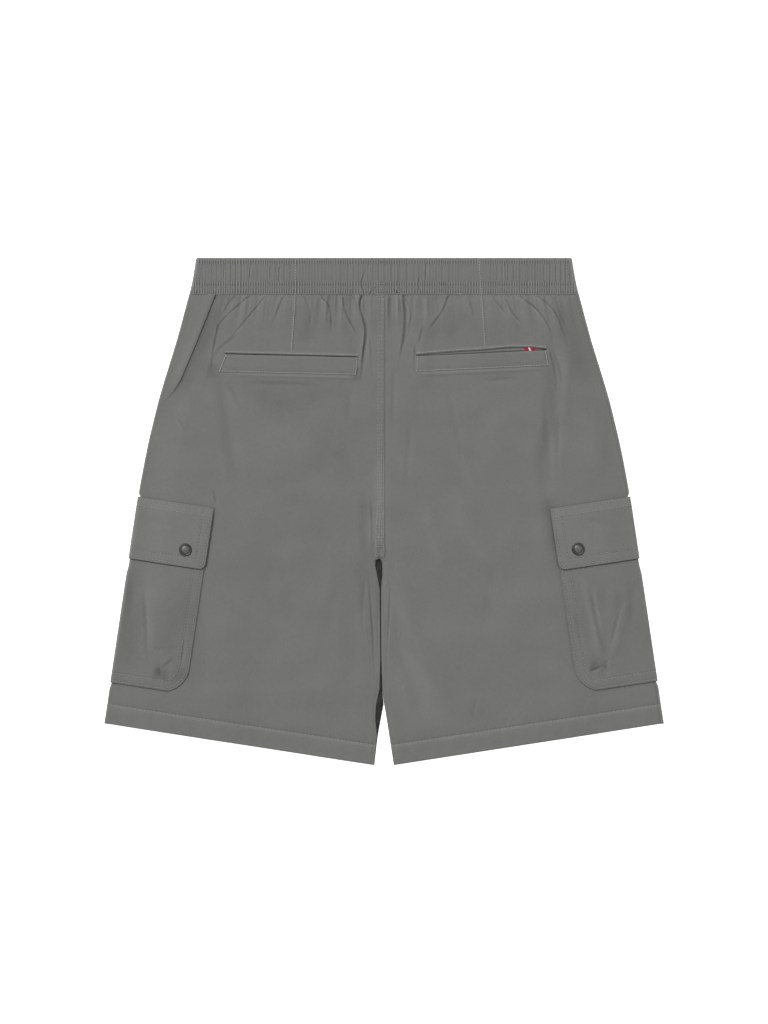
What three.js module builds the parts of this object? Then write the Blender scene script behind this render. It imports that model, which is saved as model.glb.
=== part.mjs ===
import * as THREE from "three";

// Cargo shorts laid flat, back side up. All sizes are in millimetres.
// X runs across the shorts, Y runs towards the waist and Z rises from the table.
// Places on the shorts are given by X and by "down", the distance below the waist edge.

// Overall sizes
const LENGTH = 508; // waist edge to the inner corners of the hems
const SIDE_LENGTH = 466.5; // waist edge to the outer corners of the hems
const TOP_EDGE = LENGTH / 2;

// Cloth and the spaces between its layers
const CLOTH = 1.2;
const HEM_DEPTH = 20;
const HEM_EXTRA = 0.9; // the turned-up cloth inside the hem
const SEAM_GAP = 0.35;
const FOLD_SPACE = 0.6; // between front and back where they meet at an edge
const WAIST_SPACE = 2.4; // the same just below the waistband

// Waistband
const BAND_DEPTH = 36.4;
const BAND_WALL = 2.3; // two layers of cloth with the elastic between them
const BAND_SPACE = 0.6;
const BAND_EDGE_DROP = 0.7;
const RIB_PITCH = 7.4;
const RIB_HIGH = 0.4;

// Gathers that start at the waistband
const GATHER_PITCH = 8.6;
const GATHER_HIGH = 0.55;
const GATHER_REACH = 17;

// Flat-felled centre-back seam
const SEAM_HALF_WIDTH = 3.6;
const SEAM_SLOPE = 1.4;
const SEAM_RAISE = 0.6;

// Cargo pockets: the frame follows the straight side of the leg
const SIDE_LEAN = Math.atan(0.1497);
const POCKET_START = 239; // of the flap's top edge at the side, below the waist edge
const POCKET_CLOTH = 1.0;
const POCKET_LAYER = 1.35; // the cloth and the space under it
const FLAP_DEEP = 62.6;
const PATCH_START = 12; // of the patch's top edge below the flap's top edge
const FLAP_CORNER = 7;
const PATCH_CORNER = 27;
const FLAP_PROUD = 0.4;
const PATCH_PROUD = 0.2;
const PATCH_FULLNESS = 1.3;
const LIFT_MARGIN = 9;
const LIFT_SOFT = 16;
const LEFT_POCKET = { side: -1, wide: 76.5, deep: 189 };
const RIGHT_POCKET = { side: 1, wide: 80.5, deep: 187.5 };

// Snaps
const SNAP_RADIUS = 6.3;
const SNAP_HIGH = 2.1;
const SNAP_LEFT = { x: -198.3, down: 292.3 };
const SNAP_RIGHT = { x: 194, down: 291.5 };

// Back pockets
const WELT_WALL = 1.6;
const WELT_GAP = 0.4;
const WELT_SINK = 1.0;
const LEFT_WELT = {
  topIn: { x: -26, down: 99.8 },
  topOut: { x: -159, down: 96.6 },
  lowIn: { x: -27.5, down: 118 },
  lowOut: { x: -165.5, down: 114.6 },
  mouth: 1.6,
  sink: 0.9,
};
const RIGHT_WELT = {
  topIn: { x: 32.5, down: 98.6 },
  topOut: { x: 162.5, down: 92.6 },
  lowIn: { x: 32, down: 114.6 },
  lowOut: { x: 165, down: 108.4 },
  mouth: 4.6,
  sink: 1.9,
};

// Tab in the mouth of the right back pocket
const TAB_WIDE = 14;
const TAB_DEEP = 3.6;
const TAB_WALL = 1.0;
const TAB_AT = { x: 147, down: 89.4 };

// Half of the width of the whole outline
const OUTLINE = [
  { down: 0, half: 188.3 },
  { down: 5, half: 189.0 },
  { down: 13, half: 190.2 },
  { down: 23, half: 192.0 },
  { down: 33, half: 194.2 },
  { down: 43, half: 197.0 },
  { down: 63, half: 202.3 },
  { down: 83, half: 207.8 },
  { down: 103, half: 214.0 },
  { down: 123, half: 220.2 },
  { down: 143, half: 226.0 },
  { down: 163, half: 231.0 },
  { down: 183, half: 235.7 },
  { down: 203, half: 239.8 },
  { down: 223, half: 243.5 },
  { down: 239, half: 246.3 },
  { down: 466.5, half: 280.3 },
  { down: 508, half: 286.5 },
];

// Inner edges of the four panels: the centre seams down to the crotch, then the insides of the legs
const INNER = [
  { down: 0, backLeft: 0.2, backRight: 0.55, frontLeft: -0.2, frontRight: 0.2 },
  { down: 150, backLeft: -0.2, backRight: 0.15, frontLeft: -0.2, frontRight: 0.2 },
  { down: 250, backLeft: -2.2, backRight: -1.85, frontLeft: -0.2, frontRight: 0.2 },
  { down: 299, backLeft: -5.0, backRight: -4.65, frontLeft: -1.6, frontRight: -1.2 },
  { down: 304, backLeft: -9.3, backRight: -1.2, frontLeft: -1.8, frontRight: -1.4 },
  { down: 318, backLeft: -6.2, backRight: -1.6, frontLeft: -2.6, frontRight: -2.2 },
  { down: 332, backLeft: -4.2, backRight: -2.6, frontLeft: -3.4, frontRight: -3.0 },
  { down: 432, backLeft: -4.2, backRight: -1.5, frontLeft: -2.2, frontRight: -1.7 },
  { down: 447, backLeft: -6.2, backRight: 0.3, frontLeft: -0.5, frontRight: 0.3 },
  { down: 472, backLeft: -9.0, backRight: 4.2, frontLeft: -4.4, frontRight: 4.2 },
  { down: 508, backLeft: -9.6, backRight: 9.7, frontLeft: -9.6, frontRight: 9.7 },
];

// How far each front panel reaches round the side fold onto the back
const WRAP = [
  { down: 36, left: 27, right: 5 },
  { down: 83, left: 20, right: 4 },
  { down: 122.7, left: 15, right: 3 },
  { down: 132.7, left: 11.5, right: 2.4 },
  { down: 147.3, left: 3, right: 2.2 },
  { down: 508, left: 2.2, right: 2.2 },
];

// How far the back stands off the front inside the garment
const FULLNESS = [
  { down: 36, high: 0.6 },
  { down: 60, high: 2.6 },
  { down: 100, high: 4.0 },
  { down: 160, high: 4.2 },
  { down: 260, high: 3.4 },
  { down: 360, high: 2.4 },
  { down: 440, high: 1.4 },
  { down: 508, high: 0.5 },
];

// Folds of the back. Each is a trough along its path with a soft ridge on the side given by "ridge".
const FOLDS = [
  { path: [[-135, 38], [-162, 62]], wide: 4.0, deep: 1.3, ridge: -1 },
  { path: [[-121, 38], [-160, 88]], wide: 4.2, deep: 1.6, ridge: -1 },
  { path: [[-103, 38], [-113, 68]], wide: 4.0, deep: 1.2, ridge: 1 },
  { path: [[-78, 38], [-75, 73]], wide: 3.8, deep: 0.9, ridge: 1 },
  { path: [[-62, 38], [-54, 50], [-53, 80]], wide: 3.8, deep: 1.2, ridge: -1 },
  { path: [[-41, 38], [-21, 86]], wide: 4.2, deep: 1.4, ridge: 1 },
  { path: [[-23, 38], [-19, 65], [-20, 94], [-22, 120]], wide: 4.0, deep: 1.8, ridge: 1 },
  { path: [[-168, 76], [-173, 104], [-172, 132]], wide: 4.4, deep: 1.3, ridge: -1 },
  { path: [[19, 38], [18, 78], [14, 106]], wide: 3.8, deep: 1.8, ridge: -1 },
  { path: [[28, 38], [29, 92]], wide: 3.8, deep: 1.0, ridge: 1 },
  { path: [[64, 38], [46, 67], [32, 90]], wide: 4.2, deep: 1.4, ridge: -1 },
  { path: [[92, 38], [95, 70]], wide: 3.8, deep: 0.9, ridge: 1 },
  { path: [[120, 38], [145, 78]], wide: 4.2, deep: 1.4, ridge: 1 },
  { path: [[141, 38], [162, 68], [168, 102], [171, 132]], wide: 4.2, deep: 1.6, ridge: 1 },
  { path: [[164, 38], [182, 84]], wide: 4.4, deep: 1.3, ridge: 1 },
  { path: [[178, 112], [180, 160], [178, 210]], wide: 6.5, deep: 0.9, ridge: 1 },
  { path: [[10, 108], [8, 150]], wide: 4.5, deep: 0.8, ridge: 1 },
  { path: [[-60, 130], [-150, 126]], wide: 5.0, deep: 0.9, ridge: -1 },
  { path: [[90, 124], [146, 120]], wide: 5.0, deep: 0.9, ridge: 1 },
  { path: [[94, 438], [86, 474]], wide: 5.0, deep: 0.7, ridge: 1 },
  { path: [[-170, 214], [-169, 236]], wide: 4.5, deep: 0.6, ridge: 1 },
];

// Rows of the panels, by their distance below the waist edge at the inner edge
const BACK_ROWS = [
  { down: 36.8, columns: "gathered" },
  { down: 41, columns: "gathered" },
  { down: 47, columns: "gathered" },
  { down: 54, columns: "gathered" },
  { down: 62, columns: "gathered" },
  { down: 71, columns: "upper" },
  { down: 80, columns: "upper" },
  { down: 87.5, columns: "upper" },
  { down: 91.5, columns: "upper" },
  { down: 95.5, columns: "upper" },
  { down: 99.5, columns: "upper" },
  { down: 106, columns: "upper" },
  { down: 113, columns: "upper" },
  { down: 118.5, columns: "upper" },
  { down: 124, columns: "upper" },
  { down: 131, columns: "upper" },
  { down: 142, columns: "lower" },
  { down: 158, columns: "lower" },
  { down: 178, columns: "lower" },
  { down: 200, columns: "lower" },
  { down: 222, columns: "lower" },
  { down: 238, columns: "lower" },
  { down: 252, columns: "lower" },
  { down: 268, columns: "lower" },
  { down: 284, columns: "lower" },
  { down: 299, columns: "lower" },
  { down: 304, columns: "lower" },
  { down: 318, columns: "lower" },
  { down: 332, columns: "lower" },
  { down: 356, columns: "lower" },
  { down: 386, columns: "lower" },
  { down: 416, columns: "lower" },
  { down: 447, columns: "lower" },
  { down: 466, columns: "lower" },
  { down: 486.5, columns: "lower" },
  { down: 489, columns: "lower" },
  { down: 508, columns: "lower" },
];
const FRONT_ROWS = [
  36.8, 62, 87.5, 113, 131, 142, 158, 178, 200, 222, 238, 252, 268, 284, 299, 304, 318, 332, 356,
  386, 416, 447, 466, 486.5, 489, 508,
];

const clamp01 = (t) => Math.min(1, Math.max(0, t));
const mix = (a, b, t) => a + (b - a) * t;
const bell = (d, wide) => Math.exp(-((d / wide) ** 2));

function ease(t) {
  const c = clamp01(t);
  return c * c * (3 - 2 * c);
}

// The value of one column of a table at a distance below the waist edge.
function read(table, name, down) {
  let i = 1;
  while (i < table.length - 1 && table[i].down < down) i += 1;
  const above = table[i - 1];
  const below = table[i];
  const t = clamp01((down - above.down) / (below.down - above.down));
  return mix(above[name], below[name], t);
}

const sideName = (side) => (side < 0 ? "Left" : "Right");
const pocketOf = (side) => (side < 0 ? LEFT_POCKET : RIGHT_POCKET);
const innerEdge = (layer, side, down) => side * read(INNER, layer + sideName(side), down);

// Distance inwards from the straight side of the leg and along it from the flap's top edge
function sidePlace(x, down) {
  const across = Math.abs(x) - read(OUTLINE, "half", POCKET_START);
  const along = down - POCKET_START;
  return {
    inwards: along * Math.sin(SIDE_LEAN) - across * Math.cos(SIDE_LEAN),
    along: along * Math.cos(SIDE_LEAN) + across * Math.sin(SIDE_LEAN),
  };
}

// The point of the table's plane at a place given by sidePlace
function sidePoint(side, inwards, along) {
  const half = read(OUTLINE, "half", POCKET_START);
  const across = half + along * Math.sin(SIDE_LEAN) - inwards * Math.cos(SIDE_LEAN);
  const down = POCKET_START + along * Math.cos(SIDE_LEAN) + inwards * Math.sin(SIDE_LEAN);
  return { x: side * across, down };
}

// 1 inside a strip of the side frame that is widened by a margin, 0 beyond a soft border.
function coverage(place, wide, start, end, margin) {
  const inwards = 1 - ease((place.inwards - wide - margin) / LIFT_SOFT);
  const above = ease((place.along - start + margin + LIFT_SOFT) / LIFT_SOFT);
  const below = 1 - ease((place.along - end - margin) / LIFT_SOFT);
  return inwards * above * below;
}

// How far the pocket layers underneath hold a panel off the table.
function panelLift(x, down) {
  const pocket = pocketOf(Math.sign(x));
  const place = sidePlace(x, down);
  const patch = coverage(place, pocket.wide, PATCH_START, pocket.deep, LIFT_MARGIN);
  const flap = coverage(place, pocket.wide, 0, FLAP_DEEP, LIFT_MARGIN + 6);
  return POCKET_LAYER * (patch + flap);
}

// How far the flap underneath holds the pocket patch off the table.
const patchLift = (along) => POCKET_LAYER * (1 - ease((along - FLAP_DEEP - 6) / 14));

// How far the panels are held in from the outline by the pocket layers wrapped round them.
function panelInset(side, down) {
  const along = (down - POCKET_START) / Math.cos(SIDE_LEAN);
  const deep = pocketOf(side).deep;
  const start = ease((along + 9) / 7);
  const patchEnd = 1 - ease((along - deep - 2) / 7);
  const flapEnd = 1 - ease((along - FLAP_DEEP - 4) / 14);
  const patch = start * patchEnd * (POCKET_LAYER - PATCH_PROUD);
  return patch + start * flapEnd * (POCKET_LAYER - FLAP_PROUD + PATCH_PROUD);
}

const hemDown = (across) => mix(LENGTH, SIDE_LENGTH, across);

// Thickness of a panel: the hem is turned up, so it is thicker there.
function panelWall(x, down) {
  const outer = read(OUTLINE, "half", SIDE_LENGTH);
  const hem = hemDown(clamp01((Math.abs(x) - 9.6) / (outer - 9.6)));
  return CLOTH + HEM_EXTRA * ease((down - hem + HEM_DEPTH + 1) / 2);
}

const noseRadius = (wall) => wall + 0.35;

// Distance from the middle to the centre of the rounded side fold
function noseCentre(side, down, wall) {
  return read(OUTLINE, "half", down) - panelInset(side, down) - noseRadius(wall);
}

const edgeSpace = (down) => mix(WAIST_SPACE, FOLD_SPACE, ease((down - BAND_DEPTH) / 60));

// Signed distance to a path of points, and how far along it the nearest point is, from 0 to 1.
function nearPath(path, x, down) {
  let best = { distance: Infinity, signed: 0, share: 0 };
  const segments = path.length - 1;
  for (let i = 0; i < segments; i += 1) {
    const [x0, d0] = path[i];
    const [x1, d1] = path[i + 1];
    const length = Math.hypot(x1 - x0, d1 - d0);
    const ux = (x1 - x0) / length;
    const ud = (d1 - d0) / length;
    const along = Math.min(length, Math.max(0, (x - x0) * ux + (down - d0) * ud));
    const dx = x - x0 - along * ux;
    const dd = down - d0 - along * ud;
    const distance = Math.hypot(dx, dd);
    if (distance < best.distance) {
      const turn = Math.sign(dx * ud - dd * ux) || 1;
      best = { distance, signed: turn * distance, share: (i + along / length) / segments };
    }
  }
  return best;
}

function foldHeight(x, down) {
  let height = 0;
  for (const { path, wide, deep, ridge } of FOLDS) {
    const { distance, signed, share } = nearPath(path, x, down);
    if (distance > 6 * wide) continue;
    const startsAtBand = path[0][1] < 40;
    const start = startsAtBand ? 1 : ease(share / 0.3);
    const strength = start * (1 - ease((share - 0.45) / 0.55));
    const trough = bell(distance, wide);
    const crest = bell(signed - 2.2 * wide * ridge, 1.5 * wide) * bell(distance, 5 * wide);
    height += deep * strength * (0.6 * crest - trough);
  }
  return height;
}

// Small gathers below the waistband. "across" is 0 at the centre seam and 1 at the side.
function gatherPhase(across) {
  const x = 190 * across;
  return Math.PI * 2 * (x / GATHER_PITCH + 0.45 * Math.sin(x / 31) + 0.3 * Math.sin(x / 13 + 1));
}

function gatherHeight(across, down) {
  const fade = Math.exp(-(down - BAND_DEPTH) / GATHER_REACH);
  const uneven = 0.75 + 0.25 * Math.sin(across * 37);
  return GATHER_HIGH * fade * uneven * Math.cos(gatherPhase(across));
}

// Where a point is inside a welt's four corners, across from the inner end and down from the top.
function weltPlace(welt, x, down) {
  const side = Math.sign(welt.topIn.x);
  const inner = Math.abs(welt.topIn.x);
  const outer = Math.abs(welt.topOut.x);
  const across = (side * x - inner) / (outer - inner);
  const top = mix(welt.topIn.down, welt.topOut.down, across);
  const low = mix(welt.lowIn.down, welt.lowOut.down, across);
  return { across, wide: outer - inner, fromTop: down - top, fromLow: down - low };
}

// The panel sinks a little under a welt and more in the pocket's mouth above it.
function weltHeight(welt, x, down) {
  const { across, wide, fromTop, fromLow } = weltPlace(welt, x, down);
  const ends = ease((across * wide + 7) / 6) * ease(((1 - across) * wide + 11) / 6);
  const bed = ease((fromTop + 5) / 4) * (1 - ease((fromLow - 1) / 5));
  const mouthAbove = ease((fromTop + welt.mouth + 3.5) / 3.5);
  const mouthBelow = 1 - ease((fromTop - 1) / 4);
  return -ends * (WELT_SINK * bed + welt.sink * mouthAbove * mouthBelow);
}

function seamHeight(x, down) {
  const middle = (read(INNER, "backLeft", down) + read(INNER, "backRight", down)) / 2;
  const slope = (Math.abs(x - middle) - SEAM_HALF_WIDTH) / SEAM_SLOPE;
  return SEAM_RAISE * (1 - ease(slope)) * (1 - ease((down - 292) / 8));
}

// Space between the front panel and the back panel above it
function innerSpace(side, x, down) {
  const wall = panelWall(x, down);
  const fromSide = noseCentre(side, down, wall) - Math.abs(x);
  const fromInner = side * x - innerEdge("back", side, down);
  const sideShare = ease(fromSide / 34);
  const legShare = mix(1, ease((fromInner + 2) / 26), ease((down - 262) / 60));
  const outer = noseCentre(side, down, wall);
  const shape = foldHeight(x, down) + gatherHeight(clamp01(Math.abs(x) / outer), down);
  const welt = weltHeight(side < 0 ? LEFT_WELT : RIGHT_WELT, x, down);
  const room = read(FULLNESS, "high", down) * legShare;
  const full = room + (shape + welt) * ease(fromSide / 12) * mix(1, legShare, 0.6);
  const space = edgeSpace(down) + full * sideShare;
  return Math.max(space, SEAM_GAP);
}

// Height of the upper face of the back panel
function backTop(side, x, down) {
  const wall = panelWall(x, down);
  const seam = seamHeight(x, down);
  return panelLift(x, down) + 2 * wall + innerSpace(side, x, down) + seam;
}

const point = (x, down, z) => [x, TOP_EDGE - down, z];

// A closed wall between rows of stations.
// Each station has a share along its row, a point on the outer face and one on the inner face.
function wallSolid(rows, { ring = false } = {}) {
  const positions = [];
  const face = (a, b, c) => positions.push(...a, ...b, ...c);
  const quad = (a, b, c, d) => {
    face(a, b, c);
    face(a, c, d);
  };
  const both = (a, b, c) => {
    face(a.outer, b.outer, c.outer);
    face(c.inner, b.inner, a.inner);
  };
  for (let r = 0; r < rows.length - 1; r += 1) {
    const upper = rows[r];
    const lower = rows[r + 1];
    let i = 0;
    let j = 0;
    while (i < upper.length - 1 || j < lower.length - 1) {
      const nextUpper = i < upper.length - 1 ? upper[i + 1].share : Infinity;
      const nextLower = j < lower.length - 1 ? lower[j + 1].share : Infinity;
      if (nextUpper <= nextLower) {
        both(upper[i], lower[j], upper[i + 1]);
        i += 1;
      } else {
        both(upper[i], lower[j], lower[j + 1]);
        j += 1;
      }
    }
    if (!ring) {
      const [a, b] = [upper[0], lower[0]];
      const [c, d] = [upper.at(-1), lower.at(-1)];
      quad(b.outer, a.outer, a.inner, b.inner);
      quad(c.outer, d.outer, d.inner, c.inner);
    }
  }
  const first = rows[0];
  const last = rows.at(-1);
  for (let i = 0; i < first.length - 1; i += 1) {
    quad(first[i].outer, first[i + 1].outer, first[i + 1].inner, first[i].inner);
  }
  for (let i = 0; i < last.length - 1; i += 1) {
    quad(last[i + 1].outer, last[i].outer, last[i].inner, last[i + 1].inner);
  }
  return faceOutwards(positions);
}

// Turns every triangle round if the solid is inside out.
function faceOutwards(positions) {
  let volume = 0;
  for (let i = 0; i < positions.length; i += 9) {
    const [ax, ay, az, bx, by, bz, cx, cy, cz] = positions.slice(i, i + 9);
    volume += ax * (by * cz - bz * cy) + ay * (bz * cx - bx * cz) + az * (bx * cy - by * cx);
  }
  if (volume < 0) {
    for (let i = 0; i < positions.length; i += 9) {
      const [bx, by, bz, cx, cy, cz] = positions.slice(i + 3, i + 9);
      positions.splice(i + 3, 6, cx, cy, cz, bx, by, bz);
    }
  }
  const geometry = new THREE.BufferGeometry();
  geometry.setAttribute("position", new THREE.Float32BufferAttribute(positions, 3));
  return geometry;
}

// Shares across a panel at which its small gathers have their crests and troughs
function gatherShares() {
  const shares = [];
  const steps = 4000;
  let turns = Math.floor(gatherPhase(0) / Math.PI);
  for (let i = 1; i < steps; i += 1) {
    const now = Math.floor(gatherPhase(i / steps) / Math.PI);
    if (now > turns) shares.push(i / steps);
    turns = now;
  }
  return shares;
}

const GATHER_SHARES = gatherShares();

// Distances from a panel's inner edge at which one of its rows has points
function backColumns(kind, width) {
  const seam = [0, SEAM_HALF_WIDTH, SEAM_HALF_WIDTH + SEAM_SLOPE];
  const free = width - 8;
  const outer = [];
  if (kind === "gathered") {
    for (const share of GATHER_SHARES) {
      if (share * width > 8 && share * width < width - 2) outer.push(share * width);
    }
  } else {
    const count = kind === "upper" ? 27 : 14;
    for (let i = 1; i < count; i += 1) outer.push(8 + (free * i) / count);
  }
  return [...seam, ...outer, width];
}

function backPanel(side) {
  const rows = BACK_ROWS.map(({ down: innerDown, columns }) => {
    const depth = (innerDown - 36.8) / (LENGTH - 36.8);
    const guess = read(OUTLINE, "half", innerDown);
    return backColumns(columns, guess).map((distance) => {
      const across = distance / guess;
      const down = mix(36.8, hemDown(across), depth);
      const inner = innerEdge("back", side, down);
      const wall = panelWall(side * mix(inner, read(OUTLINE, "half", down), across), down);
      const wrap = read(WRAP, sideName(side).toLowerCase(), down);
      const outer = noseCentre(side, down, wall) - wrap - SEAM_GAP;
      const offset = distance <= SEAM_HALF_WIDTH + SEAM_SLOPE;
      const x = side * (offset ? inner + distance : mix(inner, outer, across));
      const top = backTop(side, x, down);
      return {
        share: across,
        outer: point(x, down, top),
        inner: point(x, down, top - panelWall(x, down)),
      };
    });
  });
  return wallSolid(rows);
}

const NOSE_ANGLES = [-45, 0, 45, 90];
const FRONT_FROM_SIDE = [104, 92, 78, 60, 40, 20, 0];
const FRONT_INSIDE = [0, 0.34, 0.68];

function frontPanel(side) {
  const rows = FRONT_ROWS.map((innerDown) => {
    const depth = (innerDown - 36.8) / (LENGTH - 36.8);
    const stations = [];
    const add = (outer, inner) => stations.push({ share: stations.length, outer, inner });
    const guess = read(OUTLINE, "half", innerDown);
    const flat = (across) => {
      const down = mix(36.8, hemDown(across), depth);
      const inner = innerEdge("front", side, down);
      const wall = panelWall(side * mix(inner, guess, across), down);
      const x = side * mix(inner, noseCentre(side, down, wall), across);
      const low = panelLift(x, down);
      add(point(x, down, low), point(x, down, low + panelWall(x, down)));
    };
    const reach = 1 - FRONT_FROM_SIDE[0] / guess;
    for (const share of FRONT_INSIDE) flat(share * reach);
    for (const distance of FRONT_FROM_SIDE) flat(1 - distance / guess);
    const down = mix(36.8, SIDE_LENGTH, depth);
    const wall = panelWall(side * guess, down);
    const centre = noseCentre(side, down, wall);
    const low = panelLift(side * centre, down);
    const high = backTop(side, side * centre, down);
    const middle = (low + high) / 2;
    const rise = (high - low) / 2;
    const radius = noseRadius(wall);
    for (const degrees of NOSE_ANGLES) {
      const c = Math.cos((degrees * Math.PI) / 180);
      const s = Math.sin((degrees * Math.PI) / 180);
      const outerX = side * (centre + radius * c);
      const innerX = side * (centre + (radius - wall) * c);
      const innerZ = middle + (rise - wall) * s;
      add(point(outerX, down, middle + rise * s), point(innerX, down, innerZ));
    }
    const wrap = read(WRAP, sideName(side).toLowerCase(), down);
    for (const share of [0.5, 1]) {
      const x = side * (centre - wrap * share);
      const top = backTop(side, x, down);
      add(point(x, down, top), point(x, down, top - wall));
    }
    return stations;
  });
  return wallSolid(rows);
}

// Height of the ribs of the gathered elastic waistband
function ribPhase(x) {
  return Math.PI * 2 * (x / RIB_PITCH + 0.5 * Math.sin(x / 27) + 0.25 * Math.sin(x / 11 + 2));
}

const BAND_ROWS = [
  { down: 0, drop: BAND_EDGE_DROP, rib: 0.6 },
  { down: 1.2, drop: 0, rib: 0.8 },
  { down: 5, drop: 0.25, rib: 1 },
  { down: 21, drop: 0.0, rib: 0.9 },
  { down: 29, drop: 0.3, rib: 1.2 },
  { down: BAND_DEPTH, drop: 0, rib: 1 },
];
const BAND_UNDERSIDE = 10;

function waistband() {
  const ribs = [];
  const steps = 8000;
  const span = 180;
  let turns = Math.floor(ribPhase(-span) / Math.PI);
  for (let i = 1; i < steps; i += 1) {
    const x = mix(-span, span, i / steps);
    const now = Math.floor(ribPhase(x) / Math.PI);
    if (now > turns) ribs.push({ share: x / 190, high: now % 2 === 0 ? RIB_HIGH : -RIB_HIGH });
    turns = now;
  }
  const rise = BAND_WALL + BAND_SPACE / 2;
  const rows = BAND_ROWS.map(({ down, drop, rib }) => {
    const stations = [];
    const add = (outer, inner) => stations.push({ share: stations.length, outer, inner });
    const centre = read(OUTLINE, "half", down) - rise;
    const nose = (from) => {
      for (let i = 0; i <= 4; i += 1) {
        const turn = ((from - 45 * i) * Math.PI) / 180;
        const x = Math.sign(90 - from + 1) * centre;
        const r = rise - drop;
        const outer = point(x + r * Math.cos(turn), down, rise + r * Math.sin(turn));
        const q = BAND_SPACE / 2;
        add(outer, point(x + q * Math.cos(turn), down, rise + q * Math.sin(turn)));
      }
    };
    nose(270);
    for (const { share, high } of ribs) {
      const x = share * centre;
      const swell = rise * 2 - drop + rib * high + 0.35 * Math.cos(x / 60);
      add(point(x, down, swell), point(x, down, rise + BAND_SPACE / 2));
    }
    nose(90);
    for (let i = 1; i < BAND_UNDERSIDE; i += 1) {
      const x = mix(centre, -centre, i / BAND_UNDERSIDE);
      add(point(x, down, drop), point(x, down, BAND_WALL));
    }
    stations.push({ ...stations[0], share: stations.length });
    return stations;
  });
  return wallSolid(rows, { ring: true });
}

// A pocket layer wrapped round the side of the leg, from its front edge round the fold to its back edge.
function wrappedLayer({ side, rows, reach, low, high, proud, radius, shares }) {
  const made = rows.map((along) => {
    const stations = [];
    const add = (outer, inner) => stations.push({ share: stations.length, outer, inner });
    const centre = radius - proud(along);
    const wide = reach(along);
    for (const share of shares) {
      const { x, down } = sidePoint(side, mix(centre, wide, share), along);
      add(point(x, down, low(along)), point(x, down, low(along) + POCKET_CLOTH));
    }
    const top = high(centre, along);
    const middle = (top + low(along)) / 2;
    const rise = (top - low(along)) / 2;
    for (const degrees of [-45, 0, 45]) {
      const c = Math.cos((degrees * Math.PI) / 180);
      const s = Math.sin((degrees * Math.PI) / 180);
      const outer = sidePoint(side, centre - radius * c, along);
      const inner = sidePoint(side, centre - (radius - POCKET_CLOTH) * c, along);
      add(
        point(outer.x, outer.down, middle + rise * s),
        point(inner.x, inner.down, middle + (rise - POCKET_CLOTH) * s),
      );
    }
    for (const share of [...shares].reverse()) {
      const inwards = mix(centre, wide, share);
      const { x, down } = sidePoint(side, inwards, along);
      const z = high(inwards, along);
      add(point(x, down, z), point(x, down, z - POCKET_CLOTH));
    }
    return stations;
  });
  return wallSolid(made);
}

// Half width of a piece with rounded lower corners
function roundedReach(wide, deep, corner) {
  return (along) => {
    const into = Math.max(0, along - (deep - corner));
    return wide - corner + Math.sqrt(Math.max(0, corner ** 2 - into ** 2));
  };
}

// The highest place of the back panel's upper face near a point, so that what lies on it clears it.
function backTopNear(side, x, down, near) {
  let top = -Infinity;
  for (const dx of [-near, 0, near]) {
    for (const dd of [-near, 0, near]) top = Math.max(top, backTop(side, x + dx, down + dd));
  }
  return top;
}

function patchTop(pocket, inwards, along) {
  const { x, down } = sidePoint(pocket.side, inwards, along);
  const across = clamp01(inwards / pocket.wide);
  const length = clamp01(along / pocket.deep);
  const full = Math.sin(Math.PI * ease(across)) * Math.sin(Math.PI * length) ** 0.7;
  return backTop(pocket.side, x, down) + POCKET_LAYER + PATCH_FULLNESS * full;
}

function flapTop(pocket, inwards, along) {
  const { x, down } = sidePoint(pocket.side, inwards, along);
  const resting = backTop(pocket.side, x, down) + POCKET_LAYER;
  const over = patchTop(pocket, inwards, along) + POCKET_LAYER;
  return mix(resting, over, ease((along + 2) / 12));
}

function cargoPocket(pocket) {
  const end = pocket.deep;
  return wrappedLayer({
    side: pocket.side,
    rows: [PATCH_START, 30, 50, 68.6, 73, 78, 83, 105, 130, end - 27, end - 16, end - 8, end - 2.5, end],
    reach: roundedReach(pocket.wide, end + 0.6, PATCH_CORNER),
    low: patchLift,
    high: (inwards, along) => patchTop(pocket, inwards, along),
    proud: (along) => {
      const under = 1 - ease((along - FLAP_DEEP - 4) / 14);
      return mix(PATCH_PROUD, FLAP_PROUD - POCKET_LAYER, under);
    },
    radius: noseRadius(CLOTH) + POCKET_LAYER,
    shares: [1, 0.85, 0.68, 0.5, 0.32, 0.14, 0],
  });
}

function cargoFlap(pocket) {
  const end = FLAP_DEEP;
  return wrappedLayer({
    side: pocket.side,
    rows: [0, 3, 7, 12, 25, 40, end - 7, end - 3.5, end - 1, end],
    reach: roundedReach(pocket.wide + 0.8, end + 0.3, FLAP_CORNER),
    low: () => 0,
    high: (inwards, along) => flapTop(pocket, inwards, along),
    proud: () => FLAP_PROUD,
    radius: noseRadius(CLOTH) + 2 * POCKET_LAYER,
    shares: [1, 0.86, 0.7, 0.5, 0.3, 0.13, 0],
  });
}

const WELT_ACROSS = 16;
const WELT_DOWN = [
  { share: 0, drop: 0.5 },
  { share: 0.12, drop: 0.0 },
  { share: 0.5, drop: 0.0 },
  { share: 0.88, drop: 0.0 },
  { share: 1, drop: 0.5 },
];

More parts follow.
